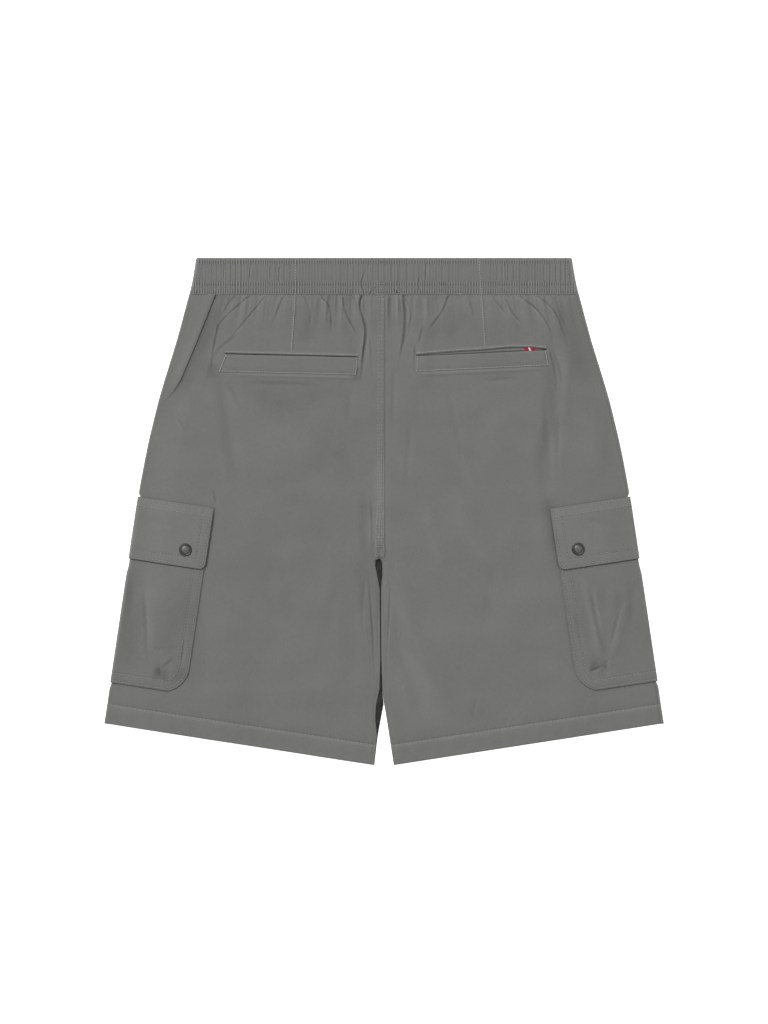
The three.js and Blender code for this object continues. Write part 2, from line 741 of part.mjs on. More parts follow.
function welt(corners) {
  const side = Math.sign(corners.topIn.x);
  const rows = WELT_DOWN.map(({ share: below, drop }) => {
    const stations = [];
    for (let i = 0; i <= WELT_ACROSS; i += 1) {
      const share = i / WELT_ACROSS;
      const topX = mix(corners.topIn.x, corners.topOut.x, share);
      const lowX = mix(corners.lowIn.x, corners.lowOut.x, share);
      const topDown = mix(corners.topIn.down, corners.topOut.down, share);
      const lowDown = mix(corners.lowIn.down, corners.lowOut.down, share);
      const x = mix(topX, lowX, below);
      const down = mix(topDown, lowDown, below);
      const bed = backTopNear(side, x, down, 2.5) + WELT_GAP;
      stations.push({
        share,
        outer: point(x, down, bed + WELT_WALL - drop),
        inner: point(x, down, bed),
      });
    }
    return stations;
  });
  return wallSolid(rows);
}

function tab() {
  const rows = [0, 0.5, 1].map((below) => {
    return [-0.5, -0.17, 0.17, 0.5].map((across) => {
      const x = TAB_AT.x + TAB_WIDE * across;
      const slope = (-6 / 130) * TAB_WIDE * across;
      const down = TAB_AT.down + slope + TAB_DEEP * below;
      const bed = backTopNear(1, x, down, 1.5) + SEAM_GAP;
      return { share: across, outer: point(x, down, bed + TAB_WALL), inner: point(x, down, bed) };
    });
  });
  return wallSolid(rows);
}

// A domed cap with a rolled rim, set square on the flap.
function snap(pocket, { x, down }) {
  const profile = [
    [0, 0],
    [SNAP_RADIUS - 0.5, 0],
    [SNAP_RADIUS, 0.45],
    [SNAP_RADIUS - 0.15, 1.0],
    [SNAP_RADIUS - 0.9, 1.25],
    [SNAP_RADIUS - 1.5, 1.1],
    [SNAP_RADIUS - 2.1, 1.5],
    [SNAP_RADIUS * 0.35, SNAP_HIGH - 0.12],
    [0, SNAP_HIGH],
  ];
  const cap = new THREE.LatheGeometry(profile.map(([r, h]) => new THREE.Vector2(r, h)), 16);
  cap.rotateX(Math.PI / 2);
  const height = (dx, dd) => {
    const place = sidePlace(x + dx, down + dd);
    return flapTop(pocket, place.inwards, place.along);
  };
  const slopeX = (height(6, 0) - height(-6, 0)) / 12;
  const slopeY = -(height(0, 6) - height(0, -6)) / 12;
  const normal = new THREE.Vector3(-slopeX, -slopeY, 1).normalize();
  const turn = new THREE.Quaternion().setFromUnitVectors(new THREE.Vector3(0, 0, 1), normal);
  cap.applyQuaternion(turn);
  const base = new THREE.Vector3(...point(x, down, height(0, 0))).addScaledVector(normal, 0.45);
  cap.translate(base.x, base.y, base.z);
  cap.deleteAttribute("uv");
  cap.deleteAttribute("normal");
  return faceOutwards([...cap.toNonIndexed().attributes.position.array]);
}

const GREY = 0x6f6f6d;
const METAL = 0x4c4c4b;
const RED = 0x9c2434;
const group = new THREE.Group();

function addPiece(name, geometry, colour) {
  const metal = colour === METAL;
  const material = new THREE.MeshStandardMaterial({
    color: colour,
    roughness: metal ? 0.4 : 0.9,
    metalness: metal ? 1 : 0,
  });
  geometry.computeVertexNormals();
  const mesh = new THREE.Mesh(geometry, material);
  mesh.name = name;
  group.add(mesh);
}

addPiece("waistband", waistband(), GREY);
addPiece("back_left", backPanel(-1), GREY);
addPiece("back_right", backPanel(1), GREY);
addPiece("front_left", frontPanel(-1), GREY);
addPiece("front_right", frontPanel(1), GREY);
addPiece("welt_left", welt(LEFT_WELT), GREY);
addPiece("welt_right", welt(RIGHT_WELT), GREY);
addPiece("tab", tab(), RED);
addPiece("cargo_pocket_left", cargoPocket(LEFT_POCKET), GREY);
addPiece("cargo_pocket_right", cargoPocket(RIGHT_POCKET), GREY);
addPiece("cargo_flap_left", cargoFlap(LEFT_POCKET), GREY);
addPiece("cargo_flap_right", cargoFlap(RIGHT_POCKET), GREY);
addPiece("snap_left", snap(LEFT_POCKET, SNAP_LEFT), METAL);
addPiece("snap_right", snap(RIGHT_POCKET, SNAP_RIGHT), METAL);

export default group;
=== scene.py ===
import math

import bpy
import numpy as np
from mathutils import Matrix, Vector


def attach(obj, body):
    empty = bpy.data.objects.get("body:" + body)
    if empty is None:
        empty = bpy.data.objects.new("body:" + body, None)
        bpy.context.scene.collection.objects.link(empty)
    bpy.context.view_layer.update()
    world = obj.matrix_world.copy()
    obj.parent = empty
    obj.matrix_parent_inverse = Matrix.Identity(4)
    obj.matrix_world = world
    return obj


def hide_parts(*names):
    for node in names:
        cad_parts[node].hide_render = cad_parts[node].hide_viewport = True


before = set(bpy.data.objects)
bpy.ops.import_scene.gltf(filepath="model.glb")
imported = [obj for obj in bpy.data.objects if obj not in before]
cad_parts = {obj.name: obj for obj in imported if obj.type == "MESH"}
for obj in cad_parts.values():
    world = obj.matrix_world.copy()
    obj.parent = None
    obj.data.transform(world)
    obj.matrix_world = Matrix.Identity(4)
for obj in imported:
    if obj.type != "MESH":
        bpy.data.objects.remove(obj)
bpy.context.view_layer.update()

# Cargo shorts laid flat, back side up. Sizes and places are in millimetres until a mesh is made.
# X runs across the shorts, Y towards the waist, Z up. "down" is the distance below the waist edge.
MM = 0.001

# Length at the middle and at the sides
LENGTH = 508.0
SIDE_LENGTH = 466.5
TOP_EDGE = LENGTH / 2

# Cloth of the panels, the turned-up hem, and the hem's inner and outer corners
CLOTH = 1.2
HEM_DEPTH = 20.0
HEM_EXTRA = 0.9
HEM_IN = 9.6
HEM_OUT = 280.3

# Space inside the legs and at the waist, inside a side fold, and the least that folds leave
FOLD_SPACE = 0.6
WAIST_SPACE = 2.4
NOSE_SPACE = 0.35
LEAST_SPACE = 0.35
LEAST_LOFT = 0.3

# Waistband: walls with the elastic's space between them, rows of stitching, and the puckers that
# these draw, each as how far down and how far it reaches
BAND_DEPTH = 36.4
BAND_WALL = 2.3
BAND_SPACE = 0.6
BAND_RISE = BAND_WALL + BAND_SPACE / 2
BAND_EDGE = 0.6
NEAR_BAND = 43.0
BAND_STITCH_ROWS = (4.6, 26.6, 34.6)
BAND_PUCKERS = ((4.4, 2.2), (26.4, 3.0), (34.6, 3.6))
PUCKER_PITCH = 2.45

# Felled seam along the middle of the back: its strip's edges, the valley on its right, its stitching
# and where it ends at the crotch
SEAM_STRIP = (-7.4, 0.3)
SEAM_END_WIDER = 3.0
SEAM_VALLEY = 0.9
SEAM_ROWS = (-6.0, -2.4)
SEAM_SLOPE = 1.8
SEAM_RAISE = 0.35
SEAM_END = 298.0

# Where the legs part, and how softly they take their own shape
LEGS_FROM = 262.0
LEGS_SOFT = 60.0

# Where the step between front and back on the left hip ends
HIP_END = 118.0
HIP_SOFT = 30.0

# Pocket layers, wrapped round the leaning sides: patches under flaps, with rows of stitching inside
# their edges
SIDE_LEAN = math.atan(0.1497)
POCKET_START = 239.0
POCKET_CLOTH = 1.0
POCKET_LAYER = 1.35
POCKET_ROWS = (2.6, 10.5)
POCKETS = {-1: {"wide": 76.5, "deep": 189.0}, 1: {"wide": 80.5, "deep": 187.5}}
PATCH_START = 12.0
PATCH_CORNER = 27.0
PATCH_PROUD = 0.2
PATCH_FULLNESS = 1.3
PATCH_PRESSED = 0.3
FLAP_DEEP = 62.6
FLAP_WIDER = 0.8
FLAP_CORNER = 7.0
FLAP_PROUD = 0.4
FLAP_STANDING = 0.3
FLAP_TOP_ROWS = (3.0, 9.0)

# How far past the pocket layers the panels are lifted, and how softly
LIFT_MARGIN = 9.0
LIFT_SOFT = 16.0
LIFT_WIDER = 46.0

SNAPS = {-1: (-198.3, 292.3), 1: (194.0, 291.5)}

# Corners of the welts: inner and outer ends of the upper and lower edges, each (x, down). The mouth's
# width is given at shares of the welt's length, from its inner end.
WELTS = {
    -1: {"top": ((-26.0, 99.8), (-159.0, 96.6)), "low": ((-27.5, 118.0), (-165.5, 114.6)),
         "mouth": ((0, 0.7), (1, 0.7)), "sink": 0.35},
    1: {"top": ((32.5, 98.6), (162.5, 92.6)), "low": ((32.0, 114.6), (165.0, 108.4)),
        "mouth": ((0, 1.5), (0.26, 2.8), (0.51, 3.3), (0.72, 4.5), (0.87, 3.8), (1, 1.4)), "sink": 0.8},
}
WELT_CLOTH = 0.9
WELT_BED = 1.2

TAB_WIDE = 14.0
TAB_AT = (147.0, 89.4)
TAB_DEEP = 4.6
TAB_TILT = 0.046
TAB_CLOTH = 0.8
TAB_STRIPE = (145.7, 91.3)
TAB_STRIPE_HALF = 0.95
TAB_SLANT = 0.45

# How far round a point its bend and its height are compared, and how strongly they tell in the tone:
# wear and painted light on ridges and swells, painted shade in creases, hollows and broad folds
WEAR_SHADE_REACH = 2
WEAR_SHADE_BEND = 0.28
HOLLOW_REACH = 8
HOLLOW_TONE = 0.5
PAINTED_SHADE_GAIN = 3.0

CHANCE = np.random.default_rng(11)


def chance_waves(count, shortest, longest):
    """Waves laid by chance, a row each: direction in radians, length, start."""
    spans = ((0, math.pi), (shortest, longest), (0, 6.28))
    return np.column_stack([CHANCE.uniform(low, high, count) for low, high in spans])


WAVES = chance_waves(36, 28, 120)
CRINKLES = chance_waves(7, 18, 46)
WAVE_STEEPNESS = 0.00125

# Half of the width of the outline
OUTLINE = np.array([
    # down, half
    (0, 188.3), (5, 189.0), (13, 190.2), (23, 192.0), (33, 194.2), (43, 197.0), (63, 202.3),
    (83, 207.8), (103, 214.0), (123, 220.2), (143, 226.0), (163, 231.0), (183, 235.7),
    (203, 239.8), (223, 243.5), (239, 246.3), (466.5, 280.3), (508, 286.5),
])

# Inner edges of the panels: the centre seams, the crotch and the insides of the legs
INNER_DOWN = (0, 150, 250, 301, 303.5, 318, 332, 400, 432, 447, 462, 478, 508)
INNER = {
    ("back", -1): (0.3, 0.0, -2.0, -4.8, -9.6, -6.6, -4.2, -3.5, -4.4, -7.8, -8.7, -7.0, -9.6),
    ("back", 1): (0.3, 0.0, -2.0, -4.8, -1.8, -1.6, -3.0, -2.7, -1.5, 0.3, 2.6, 5.1, 9.7),
    ("front", -1): (0.0, 0.0, 0.0, -1.4, -1.5, -2.4, -3.2, -3.0, -1.9, -0.3, -3.2, -6.2, -9.6),
    ("front", 1): (0.0, 0.0, 0.0, -1.4, -1.5, -2.4, -3.2, -3.0, -1.9, 0.1, 2.6, 5.1, 9.7),
}

# How far each front panel reaches round the side fold onto the back
WRAP_DOWN = (36, 83, 122.7, 132.7, 147.3, 508)
WRAP = {-1: (25.5, 19.5, 15, 11.5, 2.4, 1.2), 1: (1.6, 1.4, 1.2, 1.2, 1.2, 1.2)}

FULLNESS = np.array([
    # down, high
    (36, 0.6), (60, 2.6), (100, 4.0), (160, 4.2), (260, 3.4), (360, 2.4), (440, 1.4), (508, 0.5),
])

# Creases of the back. Each runs along its path as a narrow trough, with a soft crest beside it:
# path of (x, down), half width, depth, side of the crest and its height.
CREASES = (
    (((-150, 39), (-157, 48), (-163, 60)), 1.1, 0.7, -1, 0.5),
    (((-136, 39), (-162, 63), (-168, 78), (-172.5, 106), (-172, 126)), 1.0, 0.9, -1, 0.7),
    (((-139, 72), (-165, 92), (-174, 112), (-178, 132)), 1.6, 0.5, -1, 0.4),
    (((-120, 40), (-138, 62), (-160, 88)), 0.9, 0.8, -1, 0.5),
    (((-102, 41), (-107, 54), (-113, 70)), 1.0, 0.9, -1, 0.5),
    (((-79, 40), (-74, 57), (-76, 78)), 1.4, 0.6, 1, 0.4),
    (((-62, 40), (-54, 51), (-53, 78)), 1.0, 1.0, -1, 0.6),
    (((-41, 41), (-37, 58), (-21, 88)), 1.0, 0.9, -1, 0.6),
    (((-30, 40), (-25, 56), (-22, 70)), 1.3, 0.6, 1, 0.5),
    (((-22.5, 38), (-24, 50), (-18.5, 72), (-20.5, 96), (-24, 132)), 1.2, 2.4, -1, 1.3),
    (((-14, 76), (-13, 98), (-13, 118)), 1.4, 0.6, -1, 0.4),
    (((19.5, 37), (21, 60), (19.5, 82), (14, 108)), 1.2, 2.2, -1, 1.1),
    (((22, 42), (27, 57), (22.5, 84)), 1.1, 0.9, -1, 0.6),
    (((64, 39), (58.5, 53), (42, 76)), 1.0, 1.2, -1, 0.7),
    (((39, 68), (33.5, 89)), 0.9, 0.9, -1, 0.5),
    (((85, 40), (89, 54), (90, 66)), 1.4, 0.5, -1, 0.4),
    (((110, 41), (118, 51), (126, 62)), 1.2, 0.7, -1, 0.4),
    (((122, 42), (130, 57), (141, 69)), 1.0, 0.9, -1, 0.5),
    (((137, 39), (155, 54), (166, 72), (169, 90)), 1.1, 1.2, -1, 0.8),
    (((155, 39), (171, 54), (180, 75), (185, 92)), 1.2, 1.0, -1, 0.7),
    (((171, 41), (178, 61), (184, 76)), 1.6, 0.6, -1, 0.5),
    (((163, 86), (170, 110), (173, 142)), 1.2, 0.9, -1, 0.5),
    (((167, 88), (176, 114), (178, 142)), 1.4, 0.7, 1, 0.5),
    (((160, 122), (163, 186), (166, 240)), 3.2, 0.7, 1, 0.5),
    (((174, 150), (173, 192), (172, 230)), 2.2, 0.6, 1, 0.4),
    (((10, 108), (8, 150), (9, 190)), 2.6, 0.6, 1, 0.4),
    (((26, 164), (21, 236)), 3.0, 0.5, 1, 0.4),
    (((63, 130), (80, 220)), 4.0, 0.5, 1, 0.4),
    (((-60, 127.5), (-105, 126), (-152, 124)), 1.8, 0.8, -1, 0.5),
    (((92, 124), (118, 122), (146, 121)), 1.8, 0.8, -1, 0.5),
    (((-158, 122), (-139, 161)), 3.0, 0.6, -1, 0.4),
    (((-35, 132), (-38, 175)), 3.0, 0.5, 1, 0.4),
    (((-207, 160), (-195, 180)), 1.5, 0.5, -1, 0.4),
    (((-172.5, 230), (-169, 240), (-168, 251)), 1.0, 0.9, -1, 0.4),
    (((-13.5, 237), (-12, 280), (-12, 304)), 1.3, 0.9, -1, 0.5),
    (((-16, 312), (-11.5, 375), (-9, 440)), 1.1, 0.7, -1, 0.4),
    (((3.5, 312), (5.5, 338), (2.5, 400), (3.5, 430)), 1.1, 0.7, 1, 0.5),
    (((30.8, 86), (30.2, 100), (30.0, 119)), 0.8, 1.0, -1, 0.4),
    (((-19, 318), (-22, 367), (-15, 381)), 1.6, 0.6, 1, 0.5),
    (((92.6, 440), (87.3, 468)), 1.4, 0.6, 1, 0.4),
    (((20, 380), (62, 440)), 6.0, 0.6, 1, 0.5),
    (((-40, 300), (-70, 420)), 7.0, 0.5, -1, 0.4),
    (((-120, 300), (-108, 400)), 7.0, 0.5, 1, 0.4),
    (((110, 300), (96, 390)), 7.0, 0.5, 1, 0.4),
)
CREASE_GAIN = 1.0

# Broad folds: path of (x, down), half width, height, below zero for a hollow
FOLDS = (
    (((-166, 108), (-155, 191), (-145, 240)), 6.0, -1.3),
    (((-24, 100), (-42, 150), (-60, 195), (-76, 240)), 14.0, -1.7),
    (((-142, 124), (-95, 150), (-45, 128)), 15.0, -1.5),
    (((-222, 105), (-208, 130), (-198, 172)), 10.0, 1.3),
    (((-118, 165), (-110, 230)), 13.0, 1.0),
    (((-160, 300), (-115, 335), (-75, 352)), 19.0, -1.4),
    (((-84, 240), (-98, 322)), 13.0, 0.8),
    (((-20, 232), (-18, 310)), 6.0, -1.5),
    (((-199, 328), (-184, 400), (-192, 452)), 11.0, -1.8),
    (((-160, 335), (-152, 400), (-138, 465)), 17.0, 1.0),
    (((-100, 370), (-58, 450)), 20.0, 1.0),
    (((-40, 300), (-34, 380), (-42, 445)), 10.0, -0.9),
    (((166, 80), (169, 158), (160, 210), (164, 262)), 8.5, -2.1),
    (((180, 88), (180, 128), (175, 172)), 7.0, 1.1),
    (((163, 236), (166, 268), (175, 306)), 7.5, -1.6),
    (((96, 155), (125, 176), (156, 206)), 13.0, 1.4),
    (((66, 180), (78, 208), (96, 242)), 8.0, 1.0),
    (((108, 186), (138, 250), (124, 345)), 17.0, -1.3),
    (((40, 240), (48, 280), (62, 324)), 9.0, 1.1),
    (((70, 244), (84, 278), (108, 318)), 9.0, 0.9),
    (((12, 322), (30, 390), (68, 464)), 11.0, 1.4),
    (((4, 376), (22, 420), (40, 466)), 7.0, -0.9),
    (((140, 330), (150, 400), (176, 456)), 18.0, -1.5),
    (((170, 44), (190, 80), (205, 130)), 10.0, -2.3),
    (((29, 66), (38, 100), (42, 132)), 7.0, 1.2),
    (((210, 145), (218, 220)), 10.0, 1.1),
    (((-247, 296), (-247, 350), (-243, 408)), 10.0, -1.0),
    (((-222, 316), (-221, 396)), 12.0, 0.6),
    (((197, 314), (208, 365), (219, 410)), 4.5, 1.4),
    (((216, 322), (222, 408)), 6.0, -1.2),
    (((245, 336), (234, 372), (225, 408)), 5.0, 1.2),
    (((204, 409), (226, 415)), 8.0, -1.5),
    (((-232, 416), (-214, 420)), 7.0, -1.4),
)

# Painted shade and painted light of the broad folds: path of (x, down), half width, and how much
# darker or paler
PAINTED_FOLD_SHADES = (
    (((-174, 26), (-181, 66), (-196, 104), (-220, 146)), 12.0, -0.75),
    (((-84, 44), (-78, 88)), 12.0, -0.26),
    (((-34, 60), (-29, 118)), 6.0, -0.15),
    (((-171, 104), (-173, 122)), 5.0, -0.4),
    (((-27, 108), (-28, 124)), 5.0, -0.45),
    (((-142, 130), (-96, 158), (-48, 134)), 14.0, -0.1),
    (((-26, 140), (-50, 210)), 10.0, -0.15),
    (((-70, 210), (-30, 200)), 14.0, -0.15),
    (((-4, 196), (-4, 298)), 6.0, 0.36),
    (((-262, 296), (-258, 352), (-254, 420)), 13.0, -0.3),
    (((-232, 410), (-214, 421), (-196, 410)), 7.0, -0.4),
    (((-238, 306), (-233, 395)), 5.0, 0.12),
    (((40, 84), (70, 48)), 8.0, -0.2),
    (((60, 82), (84, 50)), 7.0, -0.2),
    (((174, 40), (191, 84), (207, 134)), 12.0, -0.24),
    (((158, 66), (168, 110), (165, 190)), 5.0, -0.1),
    (((166, 236), (170, 275), (178, 318)), 8.0, -0.26),
    (((-26, 296), (-22, 360)), 6.0, -0.18),
    (((196, 404), (230, 414)), 8.0, -0.16),
    (((236, 330), (226, 380)), 6.0, -0.22),
    (((208, 322), (217, 380)), 5.0, 0.22),
    (((14, 380), (44, 440), (66, 470)), 12.0, 0.2),
)

# Deeper pulls in the band, where a gather runs up through it
BAND_CREASES = (
    (((-20, 38), (-22.5, 24), (-17, 8)), 0.9, 0.8, 1, 0.3),
    (((-114, 8), (-114.5, 24)), 0.8, 0.5, -1, 0.2),
    (((-105, 10), (-106, 30)), 0.8, 0.4, -1, 0.2),
    (((-134, 6), (-135, 26)), 0.8, 0.4, -1, 0.2),
    (((-160, 6), (-161, 26)), 0.8, 0.4, -1, 0.2),
    (((42, 6), (41, 28)), 0.8, 0.4, -1, 0.2),
    (((35, 20), (34, 36)), 0.8, 0.5, -1, 0.2),
    (((121, 6), (122, 28)), 0.8, 0.3, -1, 0.2),
)

# Creases of the pocket patches, kept the same way
PATCH_CREASES = {
    -1: (
        (((-241, 330), (-238, 372), (-236, 402), (-227, 419)), 1.8, 1.0, 1, 0.8),
        (((-224.6, 410), (-224, 422)), 0.9, 1.3, 1, 0.7),
        (((-199, 381), (-204, 410)), 1.0, 0.9, -1, 0.4),
        (((-210, 400), (-223, 412)), 1.6, 0.7, -1, 0.8),
        (((-232, 391), (-217, 393)), 1.6, 0.5, -1, 0.4),
        (((-252, 322), (-256, 372)), 4.0, 0.6, 1, 0.4),
    ),
    1: (
        (((205, 326), (214, 368), (221, 400)), 1.6, 0.9, 1, 0.9),
        (((235, 350), (230, 372), (223.5, 400)), 1.4, 1.0, -1, 0.8),
        (((204.5, 415), (213, 411), (220.5, 407.5)), 1.0, 1.3, -1, 0.7),
        (((221.5, 402), (222, 414)), 0.9, 1.2, 1, 0.6),
        (((248, 322), (246, 380)), 4.0, 0.6, -1, 0.4),
        (((190, 350), (198, 400)), 1.8, 0.5, 1, 0.4),
    ),
}

# Creases of the flaps
FLAP_CREASES = {
    -1: ((((-236, 262), (-205, 270)), 3.0, 0.4, -1, 0.3),),
    1: ((((200, 262), (232, 268)), 3.0, 0.4, -1, 0.3),),
}

# The darts' seams, from the waist edge to the pockets' mouths
DARTS = {-1: ((-88.5, 0.0), (-89.3, 38.0), (-93.0, 94.5)), 1: ((94.5, 0.0), (97.4, 39.5), (101.0, 90.0))}

# Zigzags that hold the ends of the elastic
ZIGZAGS = (
    ((-16.6, 28.5), (-14.8, 36.6), (-12.8, 28.5), (-10.9, 36.6), (-9.2, 28.5)),
    ((8.6, 29.5), (10.8, 37.0), (12.8, 30.0), (14.8, 37.0), (16.6, 30.0)),
)


def ease(t):
    """Smooth step: 3t^2 - 2t^3 of t held between 0 and 1."""
    t = np.clip(t, 0.0, 1.0)
    return t * t * (3.0 - 2.0 * t)


def mix(a, b, t):
    """From a to b as t goes from 0 to 1."""
    return a + (b - a) * t


def bell(distance, wide):
    """Bell curve: e to the minus (distance / wide) squared."""
    return np.exp(-(distance / wide) ** 2)


def half_outline(down):
    """Half of the width of the outline, read between the rows of its table."""
    return np.interp(down, OUTLINE[:, 0], OUTLINE[:, 1])


def inner_edge(layer, side, down):
    """Distance of a panel's inner edge from the middle, counted towards its own side."""
    return side * np.interp(down, INNER_DOWN, INNER[layer, side])


def calm_edge(side, down):
    """The back's inner edge without its step at the crotch, counted towards its own side."""
    calm = [i for i, at in enumerate(INNER_DOWN) if not LEGS_FROM < at < INNER_DOWN[6]]
    return side * np.interp(down, np.take(INNER_DOWN, calm), np.take(INNER["back", side], calm))


def hem_down(x):
    """Straight hem: from the inner corner down to the outer corner, by the distance from the middle."""
    return mix(LENGTH, SIDE_LENGTH, np.clip((np.abs(x) - HEM_IN) / (HEM_OUT - HEM_IN), 0.0, 1.0))


def side_place(x, down):
    """Turned frame of the leg's side: how far inwards of its straight edge, and how far along it."""
    across = np.abs(x) - half_outline(POCKET_START)
    along = down - POCKET_START
    inwards = along * math.sin(SIDE_LEAN) - across * math.cos(SIDE_LEAN)
    return inwards, along * math.cos(SIDE_LEAN) + across * math.sin(SIDE_LEAN)


def side_point(side, inwards, along):
    """The inverse of side_place: x and down."""
    across = along * math.sin(SIDE_LEAN) - inwards * math.cos(SIDE_LEAN)
    down = POCKET_START + along * math.cos(SIDE_LEAN) + inwards * math.sin(SIDE_LEAN)
    return side * (half_outline(POCKET_START) + across), down


def coverage(inwards, along, wide, start, end, margin, wider):
    """1 over a pocket layer widened by a margin, easing to 0 over a soft border."""
    soft = LIFT_SOFT + wider
    across = 1 - ease((inwards - wide - margin) / soft)
    above = ease((along - start + margin + soft) / soft)
    return across * above * (1 - ease((along - end - margin) / soft))


def panel_lift(side, x, down, wider=0.0):
    """How far the front halves of the patch and the flap hold the panels off the table. The back
    spans the step with a wider, softer border than the front."""
    inwards, along = side_place(x, down)
    wide, deep = POCKETS[side]["wide"], POCKETS[side]["deep"]
    patch = coverage(inwards, along, wide, PATCH_START, deep, LIFT_MARGIN + 0.4 * wider, wider)
    flap = coverage(inwards, along, wide, 0.0, FLAP_DEEP, LIFT_MARGIN + 6.0 + 0.4 * wider, wider)
    return POCKET_LAYER * (patch + flap)


def patch_lift(along):
    """How far the flap's front half lifts the patch: a layer, easing to nothing below the flap."""
    return POCKET_LAYER * (1 - ease((along - FLAP_DEEP - 6.0) / 14.0))


def panel_inset(side, down):
    """How far the pocket layers wrapped round the side hold the panels in from the outline."""
    along = (down - POCKET_START) / math.cos(SIDE_LEAN)
    start = ease((along + 4.0) / 4.0)
    patch_end = 1 - ease((along - POCKETS[side]["deep"] - 1.0) / 4.0)
    flap_end = 1 - ease((along - FLAP_DEEP - 4.0) / 14.0)
    patch = patch_end * (POCKET_LAYER - PATCH_PROUD)
    return start * (patch + flap_end * (POCKET_LAYER - FLAP_PROUD + PATCH_PROUD))


def panel_wall(x, down):
    """Cloth thickness, more where the hem is turned up."""
    return CLOTH + HEM_EXTRA * ease((down - hem_down(x) + HEM_DEPTH + 1.0) / 2.0)


def nose_radius(wall):
    """Outer radius of a side fold: the cloth and the space inside it."""
    return wall + NOSE_SPACE


def nose_centre(side, down, wall):
    """Distance from the middle to the centre of the rounded side fold."""
    return half_outline(down) - panel_inset(side, down) - nose_radius(wall)


def edge_space(down):
    """Space between the panels at their side folds, which closes below the waist."""
    return mix(WAIST_SPACE, FOLD_SPACE, ease((down - BAND_DEPTH) / 60.0))


def curve_through(points, count=14):
    """Smooth path through points: Catmull-Rom with mirrored ends, evenly sampled between each pair."""
    p = np.array(points, float)
    if len(p) == 2:
        return p
    p = np.vstack([2 * p[0] - p[1], p, 2 * p[-1] - p[-2]])
    t = np.linspace(0, 1, count, endpoint=False)[:, None]
    spans = []
    for a, b, c, d in zip(p[:-3], p[1:-2], p[2:-1], p[3:]):
        spans.append(0.5 * (2 * b + (c - a) * t + (2 * a - 5 * b + 4 * c - d) * t**2
                            + (3 * b - a - 3 * c + d) * t**3))
    return np.vstack(spans + [p[-2:-1]])


def near_path(path, x, down):
    """Signed distance to a path, positive on the side of +X for a path that runs down, and the
    share of its length at the nearest point."""
    steps = np.diff(path, axis=0)
    lengths = np.hypot(*steps.T)
    starts = np.concatenate([[0], np.cumsum(lengths)])
    best = np.full(x.shape, 1e9)
    signed = np.zeros(x.shape)
    share = np.zeros(x.shape)
    for (x0, d0), (dx, dd), length, start in zip(path, steps, lengths, starts):
        ux, ud = dx / length, dd / length
        along = np.clip((x - x0) * ux + (down - d0) * ud, 0, length)
        ex, ed = x - x0 - along * ux, down - d0 - along * ud
        distance = np.hypot(ex, ed)
        nearer = distance < best
        best = np.where(nearer, distance, best)
        signed = np.where(nearer, np.where(ex * ud - ed * ux < 0, -distance, distance), signed)
        share = np.where(nearer, (start + along) / starts[-1], share)
    return signed, share


def crease_height(creases, x, down):
    """Sum over the creases: a narrow trough with a shallow hollow round it, and on one side a crest
    that rises steeply from the trough and falls away slowly, strongest near the start."""
    height = np.zeros(x.shape)
    for path, wide, deep, crest_side, crest in creases:
        signed, share = near_path(curve_through(path), x, down)
        from_band = path[0][1] < NEAR_BAND
        start = 1.0 if from_band else ease(share / 0.25)
        strength = start * (1 - ease((share - 0.5) / 0.5))
        far, beside = np.abs(signed), signed * crest_side
        trough = 0.8 * bell(far, wide) + 0.25 * bell(far, 3.0 * wide)
        slope = ease((beside + 0.2 * wide) / (1.8 * wide))
        ridge = slope * np.exp(-np.maximum(beside - 1.6 * wide, 0) / (3.2 * wide))
        fine = 0.85 + 0.15 * np.sin(share * 9.0 + path[0][0])
        height += strength * fine * (crest * ridge - deep * trough)
    return height


def ribs(x):
    """Uneven ribs of the gathered band: three cosines whose phases wander, the troughs pinched."""
    phase = 2 * math.pi * (x / 6.9 + 0.8 * np.sin(x / 27.0) + 0.5 * np.sin(x / 11.0 + 2.0))
    strong = 0.55 + 0.3 * np.sin(x / 23.0 + 1.0) + 0.25 * np.sin(x / 8.7)
    fine = 2 * math.pi * (x / 3.3 + 0.4 * np.sin(x / 13.0 + 0.4))
    wide = 2 * math.pi * (x / 17.0 + 0.3 * np.sin(x / 41.0))
    pinched = np.cos(phase) - 0.45 * np.cos(2 * phase + 0.6)
    return strong * pinched + 0.3 * np.cos(fine) * (0.6 + 0.4 * np.sin(x / 19.0)) + 0.35 * np.cos(wide)


def puckers(x):
    """Close puckers that each row of stitching draws in the band: a cosine of uneven pitch and height."""
    height = 0.7 + 0.3 * np.sin(x / 5.3) * np.sin(x / 17.0 + 1.0)
    return np.cos(2 * math.pi * x / PUCKER_PITCH + 1.6 * np.sin(x / 9.0) + 0.8 * np.sin(x / 3.1)) * height


def gathers(x, down):
    """Gathers that leave the band: ribs that widen and fade below it, stronger at some places than
    at others, and the last row's puckers."""
    below = np.maximum(down - BAND_DEPTH, 0)
    spread = x * (1 - 0.0011 * below)
    fine = 0.34 * ribs(spread) * np.exp(-below / 6.0)
    uneven = 0.6 + 0.45 * np.sin(x / 21.0 + 1.0) * np.sin(x / 47.0)
    wide = 0.75 * uneven * ribs(spread * 0.72 + 3.0) * np.exp(-(((below - 9.0) / 17.0) ** 2))
    middle = 0.8 * uneven * np.cos(2 * math.pi * spread / 16.3 + 2.9 * np.sin(spread / 29.0))
    last = 0.30 * puckers(x) * np.exp(-below / 2.2)
    return fine + wide + last + middle * np.exp(-(((below - 18.0) / 20.0) ** 2))


def band_edge(down):
    """How far the band is rounded down towards its upper edge."""
    return BAND_EDGE * (1 - ease(down / 1.2))


